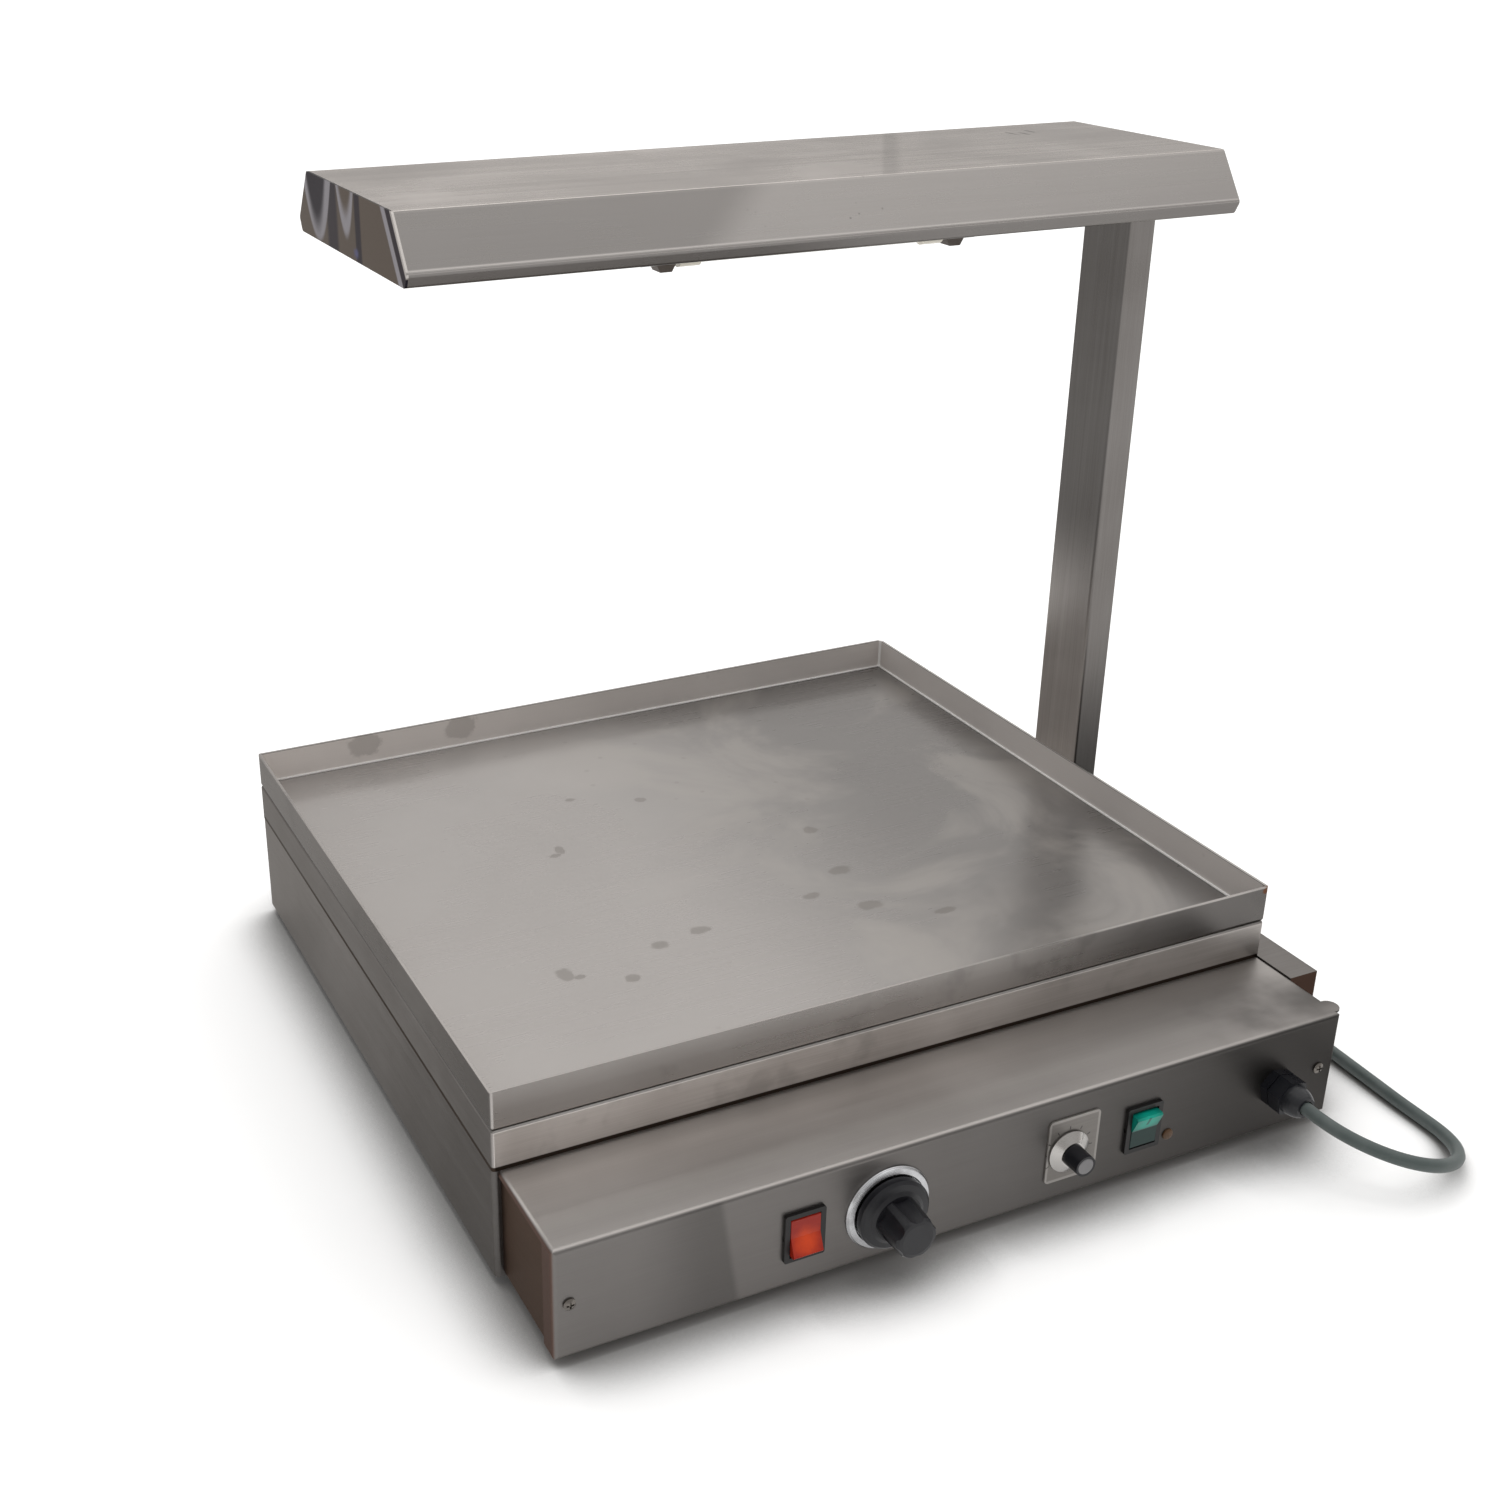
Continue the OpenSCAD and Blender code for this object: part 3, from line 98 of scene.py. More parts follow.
class Finish:
    """A material with one main shader, whose other nodes are added one at a time."""

    def __init__(self, name, shader="ShaderNodeBsdfPrincipled", **constants):
        self.material = bpy.data.materials.new(name)
        self.material.use_nodes = True
        self.tree = self.material.node_tree
        self.tree.nodes.clear()
        self.shader = self.tree.nodes.new(shader)
        output = self.tree.nodes.new("ShaderNodeOutputMaterial")
        self.tree.links.new(self.shader.outputs[0], output.inputs["Surface"])
        for socket, value in constants.items():
            self.feed(socket.replace("_", " "), value)

    def add(self, kind, settings=None, sockets=None, out=0):
        node = self.tree.nodes.new(kind)
        for key, value in (settings or {}).items():
            setattr(node, key, value)
        for key, value in (sockets or {}).items():
            self.join(node.inputs[key], value)
        return Link(self, node.outputs[out])

    def join(self, socket, value):
        if isinstance(value, Link):
            self.tree.links.new(value.socket, socket)
        else:
            socket.default_value = value

    def feed(self, socket, value):
        self.join(self.shader.inputs[socket], value)

    def place(self, output="Object"):
        return self.add("ShaderNodeTexCoord", out=output)

    def scaled(self, vector, by):
        return self.add("ShaderNodeVectorMath", {"operation": "MULTIPLY"}, {0: vector, 1: by})

    def moved(self, vector, by):
        return self.add("ShaderNodeVectorMath", {"operation": "ADD"}, {0: vector, 1: by})

    def part(self, vector, axis):
        return self.add("ShaderNodeSeparateXYZ", None, {0: vector}, axis)

    def noise(self, vector, scale, detail=3.0, roughness=0.5, distortion=0.0):
        return self.add("ShaderNodeTexNoise", None,
                        {"Vector": vector, "Scale": scale, "Detail": detail,
                         "Roughness": roughness, "Distortion": distortion})

    def cells(self, vector, scale):
        return self.add("ShaderNodeTexVoronoi", None, {"Vector": vector, "Scale": scale})

    def length(self, vector):
        return self.add("ShaderNodeVectorMath", {"operation": "LENGTH"}, {0: vector}, "Value")

    def mix(self, factor, first, second):
        return self.add("ShaderNodeMix", {"data_type": "RGBA"},
                        {0: factor, 6: first, 7: second}, 2)

    def mix_vectors(self, factor, first, second):
        return self.add("ShaderNodeMix", {"data_type": "VECTOR"},
                        {0: factor, 4: first, 5: second}, 1)

    def bump(self, height, distance, strength=1.0, after=None):
        sockets = {"Height": height, "Distance": distance, "Strength": strength}
        if after:
            sockets["Normal"] = after
        return self.add("ShaderNodeBump", None, sockets)


def tone(red, green, blue):
    """The linear colour that shows as these 0 to 255 screen values."""
    return tuple(((c / 255 + 0.055) / 1.055) ** 2.4 for c in (red, green, blue)) + (1.0,)


def shaded(colour, by):
    return tuple(c * by for c in colour[:3]) + (1.0,)


def moulded(name, colour, roughness, grain=900.0, depth=0.00006, dust=0.25, **constants):
    """Rubber or plastic out of a mould: fine grain, and paler dust that lies in clouds."""
    skin = Finish(name, **constants)
    place = skin.place()
    cloud = skin.noise(place, 38.0, 4.0, 0.6)
    fine = skin.noise(place, grain, 2.0)
    pale = cloud.fade(0.35, 0.75)
    dusty = tuple(c * (1 - dust * 0.12) + dust * 0.12 * 0.45 for c in colour[:3]) + (1.0,)
    skin.feed("Base Color", skin.mix(pale, colour, dusty))
    skin.feed("Roughness", pale * 0.1 + (fine - 0.5) * 0.1 + roughness)
    skin.feed("Normal", skin.bump(fine, depth, 0.5))
    return skin.material


def coat(material, *nodes):
    """Gives the material to the solid's nodes of these names."""
    for name in nodes:
        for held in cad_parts[name].material_slots:
            held.material = material


def smooth_route(points, steps):
    """Points on one smooth curve through the given ones."""
    ends = [points[0] * 2 - points[1]] + points + [points[-1] * 2 - points[-2]]
    route = []
    for a, b, c, d in zip(ends, ends[1:], ends[2:], ends[3:]):
        for k in range(steps):
            t = k / steps
            route.append(0.5 * (2 * b + (c - a) * t + (2 * a - 5 * b + 4 * c - d) * t ** 2
                                + (3 * b - a - 3 * c + d) * t ** 3))
    return route + [points[-1]]


mm = 0.001
cord_d = 8 * mm
floor_z, run_x, coil_y = 4.2, 288, 340
gland_x, gland_y, gland_z = 195.5, -275, 37
held_length = 11.5
turn_r, turn_steps = (run_x - gland_x) / 2, 12
run_y, run_length, run_step, run_bow = gland_y + 25, 575, 25, 6
coil_turns, coil_steps, coil_pitch, coil_mean_r = 4.25, 204, 8.6, 42
coil_top_z = 12.8


def ease(t):
    """From 0 to 1 with a level start and end."""
    return t * t * (3 - 2 * t)


lead = [Vector((gland_x, gland_y + held_length, gland_z)) * mm]
for i in range(turn_steps + 1):
    angle = math.pi * i / turn_steps
    lead.append(Vector((gland_x + turn_r * (1 - math.cos(angle)),
                        gland_y - turn_r * math.sin(angle),
                        gland_z + (floor_z - gland_z) * ease(i / turn_steps))) * mm)
for y in range(0, run_length + 1, run_step):
    bow = run_bow * math.sin(math.pi * y / run_length)
    lead.append(Vector((run_x + bow, run_y + y, floor_z)) * mm)
lead.append(Vector((run_x, coil_y - 2, floor_z)) * mm)

coil_out = coil_mean_r + coil_pitch * coil_turns / 4
coil = []
for i in range(coil_steps + 1):
    u = coil_turns * i / coil_steps
    past_middle = u - coil_turns / 2
    r = coil_out - coil_pitch * (coil_turns / 2 - abs(past_middle))
    climb = coil_pitch * ease(min(max(past_middle * 2 + 0.5, 0), 1))
    coil.append(Vector((run_x - coil_out + r * math.cos(math.tau * u),
                        coil_y + r * math.sin(math.tau * u), floor_z + climb)) * mm)
coil_end = coil[-1] - Vector((2, 0, 0)) * mm
tail = [coil_end] + [coil_end + Vector((-x, y, z - coil_top_z)) * mm for x, y, z in (
    (3, 0, 12.8), (14, 0, 10.6), (30, 0, 7.4), (44.5, 0, 5.2), (53.3, -1.2, 4.4),
    (61.5, -4.6, 4.2), (68.5, -10, 4.2), (73.9, -17, 4.5), (77.3, -25.2, 5.2),
    (78.5, -34, 6.2), (78.5, -42.7, 7.27), (78.5, -51.3, 8.33), (78.5, -60, 9.4))]
cord_path = smooth_route(lead, 4) + coil + smooth_route(tail, 4)

cord_line = bpy.data.curves.new("mains_cord", "CURVE")
cord_line.dimensions = "3D"
cord_line.bevel_depth = cord_d / 2
cord_line.bevel_resolution = 3
cord_line.use_fill_caps = True
spline = cord_line.splines.new("POLY")
spline.points.add(len(cord_path) - 1)
for point, at in zip(spline.points, cord_path):
    point.co = (*at, 1)
spline.use_smooth = True
mains_cord = bpy.data.objects.new("mains_cord", cord_line)
bpy.context.scene.collection.objects.link(mains_cord)
mains_cord.data.materials.append(
    moulded("cord_rubber", tone(70, 80, 78), 0.5, 1400.0, 0.00008, 0.8))
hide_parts("cord_lead", "cord_coil", "cord_tail")
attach(mains_cord, "base")


# Plug: a moulded three-pin plug on the cord's end, with rectangular brass pins. A ribbed
# rubber sleeve over the cord, vulcanised to the plug, keeps the cord from kinking.
def turned(name, profile, axis_from, axis_to, sides, material):
    """A hollow round piece from a closed profile of (distance along the axis, radius)."""
    start = Vector(axis_from)
    axis = (Vector(axis_to) - start).normalized()
    across = axis.orthogonal().normalized()
    over = axis.cross(across)
    shape = bmesh.new()
    rings = []
    for along, radius in profile:
        rings.append([])
        for k in range(sides):
            angle = math.tau * k / sides
            outward = math.cos(angle) * across + math.sin(angle) * over
            rings[-1].append(shape.verts.new(start + axis * along + radius * outward))
    for low, high in zip(rings, rings[1:] + rings[:1]):
        for k in range(sides):
            n = (k + 1) % sides
            shape.faces.new([low[k], low[n], high[n], high[k]])
    return finished(name, shape, material)


def finished(name, shape, material, smooth=True):
    """Turns a bmesh into a linked object whose faces point outwards."""
    bmesh.ops.recalc_face_normals(shape, faces=shape.faces)
    mesh = bpy.data.meshes.new(name)
    shape.to_mesh(mesh)
    shape.free()
    mesh.materials.append(material)
    if smooth:
        mesh.shade_smooth()
        mesh.set_sharp_from_angle(angle=math.radians(35))
    piece = bpy.data.objects.new(name, mesh)
    bpy.context.scene.collection.objects.link(piece)
    return piece


plug_black = moulded("plug_plastic", tone(34, 34, 36), 0.32, 1200.0, 0.00003, 0.4)
coat(plug_black, "plug_body")
sleeve_bore_r, sleeve_tip_r, sleeve_root_r, sleeve_length = 0.0042, 0.0052, 0.0068, 0.0260
rib_count, rib_pitch, groove_depth = 8, 0.0030, 0.0011
sleeve_rings = [(0.0, sleeve_bore_r), (0.0, sleeve_tip_r)]
for k in range(rib_count):
    rib_at = rib_pitch * k
    rib_r = 0.0056 + 0.0006 * k / (rib_count - 1)
    groove_r = rib_r - groove_depth
    sleeve_rings += [(rib_at + 0.0012, rib_r), (rib_at + 0.0030, rib_r),
                     (rib_at + 0.0032, groove_r), (rib_at + 0.0040, groove_r)]
sleeve_rings += [(sleeve_length, sleeve_root_r), (sleeve_length, sleeve_bore_r)]
plug_end = tail[-1]
cord_sleeve = turned("plug_sleeve", sleeve_rings, plug_end + Vector((0, 0.026, -0.0032)),
                     plug_end, 32, plug_black)
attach(cord_sleeve, "base")


def plain_metal(name, colour, roughness, wear=0.12, scale=220.0):
    """Small turned or plated metal: fine tooling marks, and duller patches from handling."""
    metal = Finish(name, Metallic=1.0)
    place = metal.place()
    marks = metal.noise(place, scale, 3.0)
    dull = metal.noise(place, scale * 0.2, 3.0, 0.6).fade(0.4, 0.7)
    metal.feed("Base Color", metal.mix(dull, colour, shaded(colour, 1 - wear * 2)))
    metal.feed("Roughness", dull * wear + (marks - 0.5) * 0.12 + roughness)
    metal.feed("Normal", metal.bump(marks, 0.00003, 0.4))
    return metal.material


brass = plain_metal("bright_brass", (0.62, 0.45, 0.20, 1), 0.28)
coat(brass, "plug_pins", "regulator_shaft", "dimmer_shaft")

# Studio: a wide pale floor that is darker close under the unit, one large soft sun from
# behind on the right, and a sky that is brighter overhead and behind than low in front.
floor_drop = 0.0003
floor_shape = bmesh.new()
bmesh.ops.create_grid(floor_shape, x_segments=1, y_segments=1, size=30)
for v in floor_shape.verts:
    v.co.z = -floor_drop
floor_paint = Finish("studio_floor", "ShaderNodeAddShader")
camera_ray, glossy_ray, through_ray = (
    floor_paint.add("ShaderNodeLightPath", out="Is %s Ray" % kind)
    for kind in ("Camera", "Glossy", "Transmission"))
# Painted contact shadow: an occlusion node darkens the floor's colour and its glow close under
# the unit, for camera rays only.
openness = floor_paint.add("ShaderNodeAmbientOcclusion", {"samples": 16},
                           {"Distance": 0.055}, "AO").fade(0.42, 0.97)
open_sky = 1 - camera_ray * (1 - openness)
matt = floor_paint.add("ShaderNodeBsdfDiffuse", None, {"Color": floor_paint.mix(
    open_sky, (0.26, 0.255, 0.25, 1), (0.93, 0.93, 0.93, 1))})
seen = camera_ray.most(glossy_ray).most(through_ray)
glow = floor_paint.add("ShaderNodeEmission", None,
                       {"Color": (1, 1, 1, 1), "Strength": seen * open_sky * 0.22})
floor_paint.feed(0, matt)
floor_paint.feed(1, glow)
studio_floor = finished("studio_floor", floor_shape, floor_paint.material, False)

sun = bpy.data.objects.new("soft_sun", bpy.data.lights.new("soft_sun", "SUN"))
sun.data.energy = 1.3
sun.data.angle = math.radians(95)
sun.data.color = (1.0, 0.985, 0.965)
sun_line = Vector((-0.27, -0.23, -0.93))
sun.rotation_euler = sun_line.to_track_quat("-Z", "Y").to_euler()
bpy.context.scene.collection.objects.link(sun)


class Sky(Finish):
    """The same way of adding nodes, for the world's light."""

    def __init__(self, name):
        self.world = bpy.data.worlds.new(name)
        self.world.use_nodes = True
        self.tree = self.world.node_tree
        self.tree.nodes.clear()
        self.shader = self.tree.nodes.new("ShaderNodeBackground")
        output = self.tree.nodes.new("ShaderNodeOutputWorld")
        self.tree.links.new(self.shader.outputs[0], output.inputs["Surface"])


sky = Sky("studio_sky")
bpy.context.scene.world = sky.world
toward = sky.place("Generated")
high = sky.part(toward, 2).fade(-0.05, 0.75)
behind = sky.part(toward, 1).fade(-0.7, 0.8)
low_sky = sky.mix(behind, (0.48, 0.465, 0.45, 1), (0.62, 0.615, 0.61, 1))
lit = sky.mix(high, low_sky, (0.74, 0.74, 0.74, 1))
backdrop = sky.add("ShaderNodeLightPath", out="Is Camera Ray")
sky.feed("Color", sky.mix(backdrop, lit, (1, 1, 1, 1)))
sky.feed("Strength", 1.0)


# Base: one sheet of ground stainless folded to a box with inward flanges, and a galvanised
# bottom plate with vent slots, held by six screws. It stands on four screwed rubber feet.
def steel(name, roughness, colour=None, grain="x", streak=0.5, cloud=0.5, spread=0.16,
          wave=0.0):
    """Ground stainless sheet: long fine grooves, soft clouds of handling, warm in the dark."""
    sheet = Finish(name, Metallic=1.0, Specular_Tint=(0.5, 0.49, 0.48, 1.0))
    place, normal = sheet.place(), sheet.place("Normal")
    faces_x, faces_y, faces_z = (sheet.part(normal, axis) for axis in (0, 1, 2))
    stretch = 0.012
    if grain == "z":
        long_way = sheet.scaled(place, (1.0, 1.0, stretch))
    else:
        long_way = sheet.mix_vectors(faces_x.size().fade(0.5, 0.6),
                                     sheet.scaled(place, (stretch, 1.0, 1.0)),
                                     sheet.scaled(place, (1.0, stretch, 1.0)))
    fine = sheet.noise(long_way, 1500.0, 2.0)
    broad = sheet.noise(long_way, 170.0, 3.0, 0.6)
    clouds = sheet.noise(place, 7.5, 4.0, 0.55, 0.6)
    level = (fine - 0.5) * streak + (broad - 0.5) * streak + (clouds - 0.5) * cloud * 2.2 + 0.5
    darker = tuple(1 - spread * w for w in (0.94, 1.02, 1.08)) + (1.0,)
    sheet.shade = sheet.mix(level.fade(0.0, 1.0), darker, (1 + spread,) * 3 + (1.0,))
    sheet.spot, sheet.paint = place, colour
    sheet.x, sheet.y, sheet.z = (sheet.part(place, axis) for axis in (0, 1, 2))
    # Masks of faces that point left, to the front and up, and of rounded folds. The callers
    # mostly use them to paint faces lighter or darker: painted light and shade.
    sheet.left = faces_x.fade(-0.5, -0.85)
    sheet.front = faces_y.fade(-0.5, -0.85)
    sheet.top = faces_z.fade(0.92, 0.99)
    squarest = faces_x.size().most(faces_y.size()).most(faces_z.size())
    sheet.fold = squarest.fade(0.98, 0.90)
    sheet.roughness = (broad - 0.5) * 0.10 + (clouds - 0.5) * 0.16 + roughness
    sheet.normal = sheet.bump(fine * 0.2 + broad * 0.8, 0.00010, 0.2)
    if wave:
        ripple = sheet.noise(place, 13.0, 1.0)
        sheet.normal = sheet.bump(ripple, wave, 1.0, sheet.normal)
    return sheet


def tinted(sheet, mask, colour):
    """Paints the sheet with another tone of steel where the mask is 1."""
    sheet.paint = sheet.mix(mask, sheet.paint, colour)


def grey(level):
    """The slightly warm tone of steel at this screen value."""
    return tone(level, level * 0.975, level * 0.957)


def graded(sheet, along, start, end, start_level, end_level):
    """One soft change along a line, from one tone of steel at start to another at end."""
    return sheet.mix(along.fade(start, end), grey(start_level), grey(end_level))


def sealed(sheet):
    """Feeds the sheet's colour, roughness and grooves to its shader."""
    sheet.feed("Base Color", sheet.add(
        "ShaderNodeMix", {"data_type": "RGBA", "blend_type": "MULTIPLY"},
        {0: 1.0, 6: sheet.paint, 7: sheet.shade}, 2))
    sheet.feed("Roughness", sheet.roughness)
    sheet.feed("Normal", sheet.normal)
    return sheet.material


def blotch(sheet, centre, size, edge=0.35):
    """1 inside an oval about centre and 0 outside, its edge made uneven by sheet.ragged."""
    offset = sheet.moved(sheet.spot, tuple(-c for c in centre))
    reach = sheet.length(sheet.scaled(offset, tuple(1 / s for s in size)))
    return (reach + (sheet.ragged - 0.5) * 0.9).fade(1.0, 1.0 - edge)


base_steel = steel("base_steel", 0.36, spread=0.22, wave=0.0012)
# Painted shade and reflection: the base's steel is darker towards the front and lighter
# towards the back.
base_steel.paint = graded(base_steel, base_steel.y, -0.17, 0.12, 93, 122)
coat(sealed(base_steel), "base_chassis")


def galvanised(name):
    """Zinc-coated sheet with its frosty spangle."""
    zinc = Finish(name, Metallic=1.0)
    place = zinc.place()
    frost = zinc.cells(place, 160.0)
    patches = zinc.noise(place, 30.0, 3.0)
    shade = zinc.mix(frost.fade(0.1, 0.7), (0.50, 0.51, 0.52, 1), (0.36, 0.37, 0.38, 1))
    zinc.feed("Base Color", zinc.mix(patches.fade(0.4, 0.7), shade, (0.40, 0.40, 0.40, 1)))
    zinc.feed("Roughness", frost * 0.2 + 0.32)
    zinc.feed("Normal", zinc.bump(patches, 0.0002, 0.3))
    return zinc.material


zinc_sheet = galvanised("galvanised_sheet")
coat(zinc_sheet, "base_cover", "heat_shield", "element_clamps", "hood_bracket",
     "holder_brackets")
plated = plain_metal("plated_steel", (0.50, 0.49, 0.47, 1), 0.30)
coat(plated, "base_cover_screws", "foot_screws", "shield_studs", "post_bolts", "hood_bolts",
     "control_nuts")
coat(moulded("foot_rubber", tone(38, 37, 36), 0.75, 500.0, 0.0002, 1.0), "feet")

# Control box: a folded floor with end walls, closed by a cover that is the unit's front
# and its top ledge in one sheet of ground stainless. One screw holds it at each end.
# Painted shade: the box's floor and end walls have a dark brownish tone of steel.
coat(sealed(steel("box_steel", 0.42, tone(80, 66, 58))), "control_box")
panel_steel = steel("panel_steel", 0.42, streak=0.4, spread=0.10, wave=0.0008)
panel_steel.ragged = panel_steel.noise(panel_steel.spot, 40.0, 2.0)
# Painted shade and reflections on the top ledge: lighter at the left and darker to the right,
# darker along its front edge and beside the housing, and much darker at the right front
# corner.
front_edge = panel_steel.y.fade(-0.205, -0.232)
beside_housing = panel_steel.y.fade(-0.190, -0.176)
painted_dark_corner = blotch(panel_steel, (0.25, -0.218, 0.075), (0.11, 0.036, 0.05), 0.9)
ledge = graded(panel_steel, panel_steel.x, -0.05, 0.20, 188, 158)
ledge = panel_steel.mix(front_edge * 0.6, ledge, grey(136))
ledge = panel_steel.mix(beside_housing * 0.5, ledge, grey(148))
ledge = panel_steel.mix(painted_dark_corner, ledge, grey(98))
# Painted reflections on the front: a darker band just left of a slanting line near the left
# end, and the face darker from left to right.
painted_light_part = (panel_steel.x + panel_steel.z * 0.163).fade(-0.1560, -0.1510)
painted_dark_band = panel_steel.x.fade(-0.22, -0.17) * (1 - painted_light_part)
face = graded(panel_steel, panel_steel.x, -0.15, 0.24, 116, 70)
face = panel_steel.mix(painted_dark_band, face, grey(99))
# Painted light and shade: the ledge and the front are given different tones of the same sheet,
# and its left end a darker, browner one.
panel_steel.paint = panel_steel.mix(panel_steel.front, ledge, face)
tinted(panel_steel, panel_steel.left, tone(92, 76, 70))
coat(sealed(panel_steel), "control_cover")
coat(plain_metal("dull_screw", tone(118, 113, 108), 0.30, 0.2, 300.0), "cover_screws")

# Housing of the hot plate: a shallow folded cap of ground stainless on the base. Inside it
# lie the aluminium spreader, the rod element, a wool pad and the pan that carries them.
def worn(sheet):
    """Faint uneven spots that hands and cloths have dulled."""
    return sheet.noise(sheet.spot, 30.0, 3.0, 0.6).fade(0.52, 0.68) * 0.22


housing_steel = steel("housing_steel", 0.38, spread=0.2, cloud=0.7, wave=0.0010)
# Painted light and shade: the housing's sides are dark, lighter towards the back; its front is
# much lighter, darker from left to right; its top is a mid grey. The straw heat tint on the
# top is the steel's own colour.
housing_steel.paint = graded(housing_steel, housing_steel.y, -0.17, -0.05, 100, 113)
tinted(housing_steel, housing_steel.front,
       graded(housing_steel, housing_steel.x, -0.24, 0.24, 204, 170))
straw = housing_steel.noise(housing_steel.spot, 5.0, 2.0, 0.5, 0.8).fade(0.45, 0.7)
painted_top_and_heat_tint = housing_steel.mix(straw, grey(168), tone(160, 148, 124))
tinted(housing_steel, housing_steel.top, painted_top_and_heat_tint)
tinted(housing_steel, worn(housing_steel) * housing_steel.front, grey(100))
# Painted shade: the rounded folds are darker.
tinted(housing_steel, housing_steel.fold * 0.7, grey(118))
# Painted shadow: a dark brown line along the housing's bottom edge, where it meets the parts
# below.
seam_shadow = housing_steel.z.fade(0.0768, 0.0761)
tinted(housing_steel, seam_shadow, tone(52, 44, 38))
coat(sealed(housing_steel), "plate_housing")
aluminium = plain_metal("mill_aluminium", (0.66, 0.66, 0.67, 1), 0.33, 0.08, 90.0)
coat(aluminium, "heat_spreader")
sheath = plain_metal("oxidised_sheath", (0.20, 0.165, 0.14, 1), 0.5, 0.2, 120.0)
coat(sheath, "heating_element")


def wool(name):
    """Pressed mineral wool: fibres every way, with darker flecks of slag."""
    pad = Finish(name, Roughness=0.95)
    place = pad.place()
    fibre = pad.noise(pad.scaled(place, (1.0, 0.25, 1.0)), 700.0, 4.0, 0.7, 1.2)
    fleck = pad.cells(place, 240.0).fade(0.12, 0.05)
    fibres = pad.mix(fibre, (0.42, 0.36, 0.20, 1), (0.72, 0.67, 0.47, 1))
    pad.feed("Base Color", pad.mix(fleck, fibres, (0.16, 0.12, 0.08, 1)))
    pad.feed("Normal", pad.bump(fibre, 0.0006, 0.8))
    return pad.material


coat(wool("mineral_wool"), "insulation_pad")
phenolic = moulded("black_phenolic", tone(34, 32, 31), 0.38, 900.0, 0.00004, 0.5)
coat(phenolic, "thermal_cutout", "regulator_body")

# Tray: a lift-off pan of thin stainless with welded corners. Years of dishes have left it
# satin, with milky patches, finger marks, small spots and one rust spot at a corner.
tray_steel = steel("tray_steel", 0.28, streak=0.15, cloud=0.5, spread=0.08, wave=0.0002)
tray_steel.ragged = tray_steel.noise(tray_steel.spot, 170.0, 3.0, 0.6)
pan_floor_z = 0.1005
inside = (tray_steel.x.fade(-0.2600, -0.2594) * tray_steel.x.fade(0.2386, 0.2380)
          * tray_steel.y.fade(-0.1690, -0.1684) * tray_steel.y.fade(0.2696, 0.2690))
outside = 1 - inside
walls = inside * tray_steel.z.fade(0.1008, 0.1022)
pan_floor = inside * tray_steel.z.fade(0.1022, 0.1008)
rim = tray_steel.z.fade(0.1217, 0.1222)
# Painted light, shade and reflections: the tray's walls are very light inside, darker from
# left to right; its outside is darker; its floor is darker from left to right; its outer left
# side and front have their own gradients, and its rim a mid grey.
tray_steel.paint = graded(tray_steel, tray_steel.x, -0.26, 0.0, 238, 213)
tinted(tray_steel, outside, grey(112))
tinted(tray_steel, pan_floor, graded(tray_steel, tray_steel.x, -0.10, 0.13, 163, 123))
tinted(tray_steel, tray_steel.left * outside,
       graded(tray_steel, tray_steel.y, -0.17, -0.05, 96, 112))
tinted(tray_steel, tray_steel.front * outside,
       graded(tray_steel, tray_steel.x, 0.0, 0.22, 166, 100))
tinted(tray_steel, rim, grey(160))
tinted(tray_steel, worn(tray_steel) * outside, grey(82))
# Painted highlights: a near-white line along the fold between the floor and the walls, and one
# up the back right corner.
fold_highlight = inside * tray_steel.z.fade(0.1007, 0.1010) * tray_steel.z.fade(0.1022, 0.1016)
corner_highlight = (tray_steel.x.fade(0.2362, 0.2368) * tray_steel.y.fade(0.2662, 0.2668)
               * tray_steel.z.fade(0.100, 0.102))
tinted(tray_steel, fold_highlight.most(corner_highlight), tone(250, 249, 248))
milk = tray_steel.noise(tray_steel.spot, 9.0, 4.0, 0.6, 0.8)
milky = milk.fade(0.44, 0.66) * tray_steel.x.fade(-0.16, 0.02) * pan_floor
spots = [blotch(tray_steel, (x, y, pan_floor_z), (long, wide, 0.004)) for x, y, long, wide in (
    (-0.1052, -0.0435, 0.007, 0.005), (-0.0760, -0.0379, 0.008, 0.005),
    (-0.1690, -0.0504, 0.006, 0.008), (-0.1620, -0.0560, 0.004, 0.003),
    (0.0380, -0.0088, 0.009, 0.006), (0.0318, -0.0551, 0.010, 0.006),
    (0.0482, 0.0470, 0.006, 0.006), (0.0050, -0.0300, 0.007, 0.004),
    (-0.1120, 0.0910, 0.004, 0.006), (-0.1180, 0.0850, 0.005, 0.003),
    (-0.0344, 0.1344, 0.005, 0.004), (-0.0775, 0.1545, 0.004, 0.003),
    (-0.1350, -0.0700, 0.005, 0.005), (0.0700, -0.0800, 0.008, 0.004))]
smudges = [blotch(tray_steel, (x, 0.2685, 0.1150), (0.014, 0.004, 0.010), 0.3) * inside * 0.8
           for x in (-0.1852, -0.1140)]
marks = reduce(Link.most, spots + smudges)
specks = (tray_steel.cells(tray_steel.spot, 55.0).fade(0.14, 0.05)
          * tray_steel.noise(tray_steel.spot, 6.0, 2.0).fade(0.50, 0.62))
tinted(tray_steel, milky * 0.30, tone(178, 172, 166))
tinted(tray_steel, marks.most(specks * 0.5) * 0.38, tone(110, 104, 98))
rust = blotch(tray_steel, (0.2380, -0.1695, 0.1205), (0.004, 0.004, 0.003))
tinted(tray_steel, rust * 0.8, tone(96, 58, 36))
tray_steel.roughness = tray_steel.roughness + marks * 0.12 + milky * 0.04 + walls * 0.15
tray_steel.feed("Metallic", 1 - walls * 0.65 - pan_floor * 0.6)
coat(sealed(tray_steel), "tray")

# Duct and post: a folded cover beside the base, and the rectangular tube bolted to the
# base behind it. The tube's grooves run up its length, and the lamp's wires climb inside.
duct_steel = steel("duct_steel", 0.36, grey(114), spread=0.2)
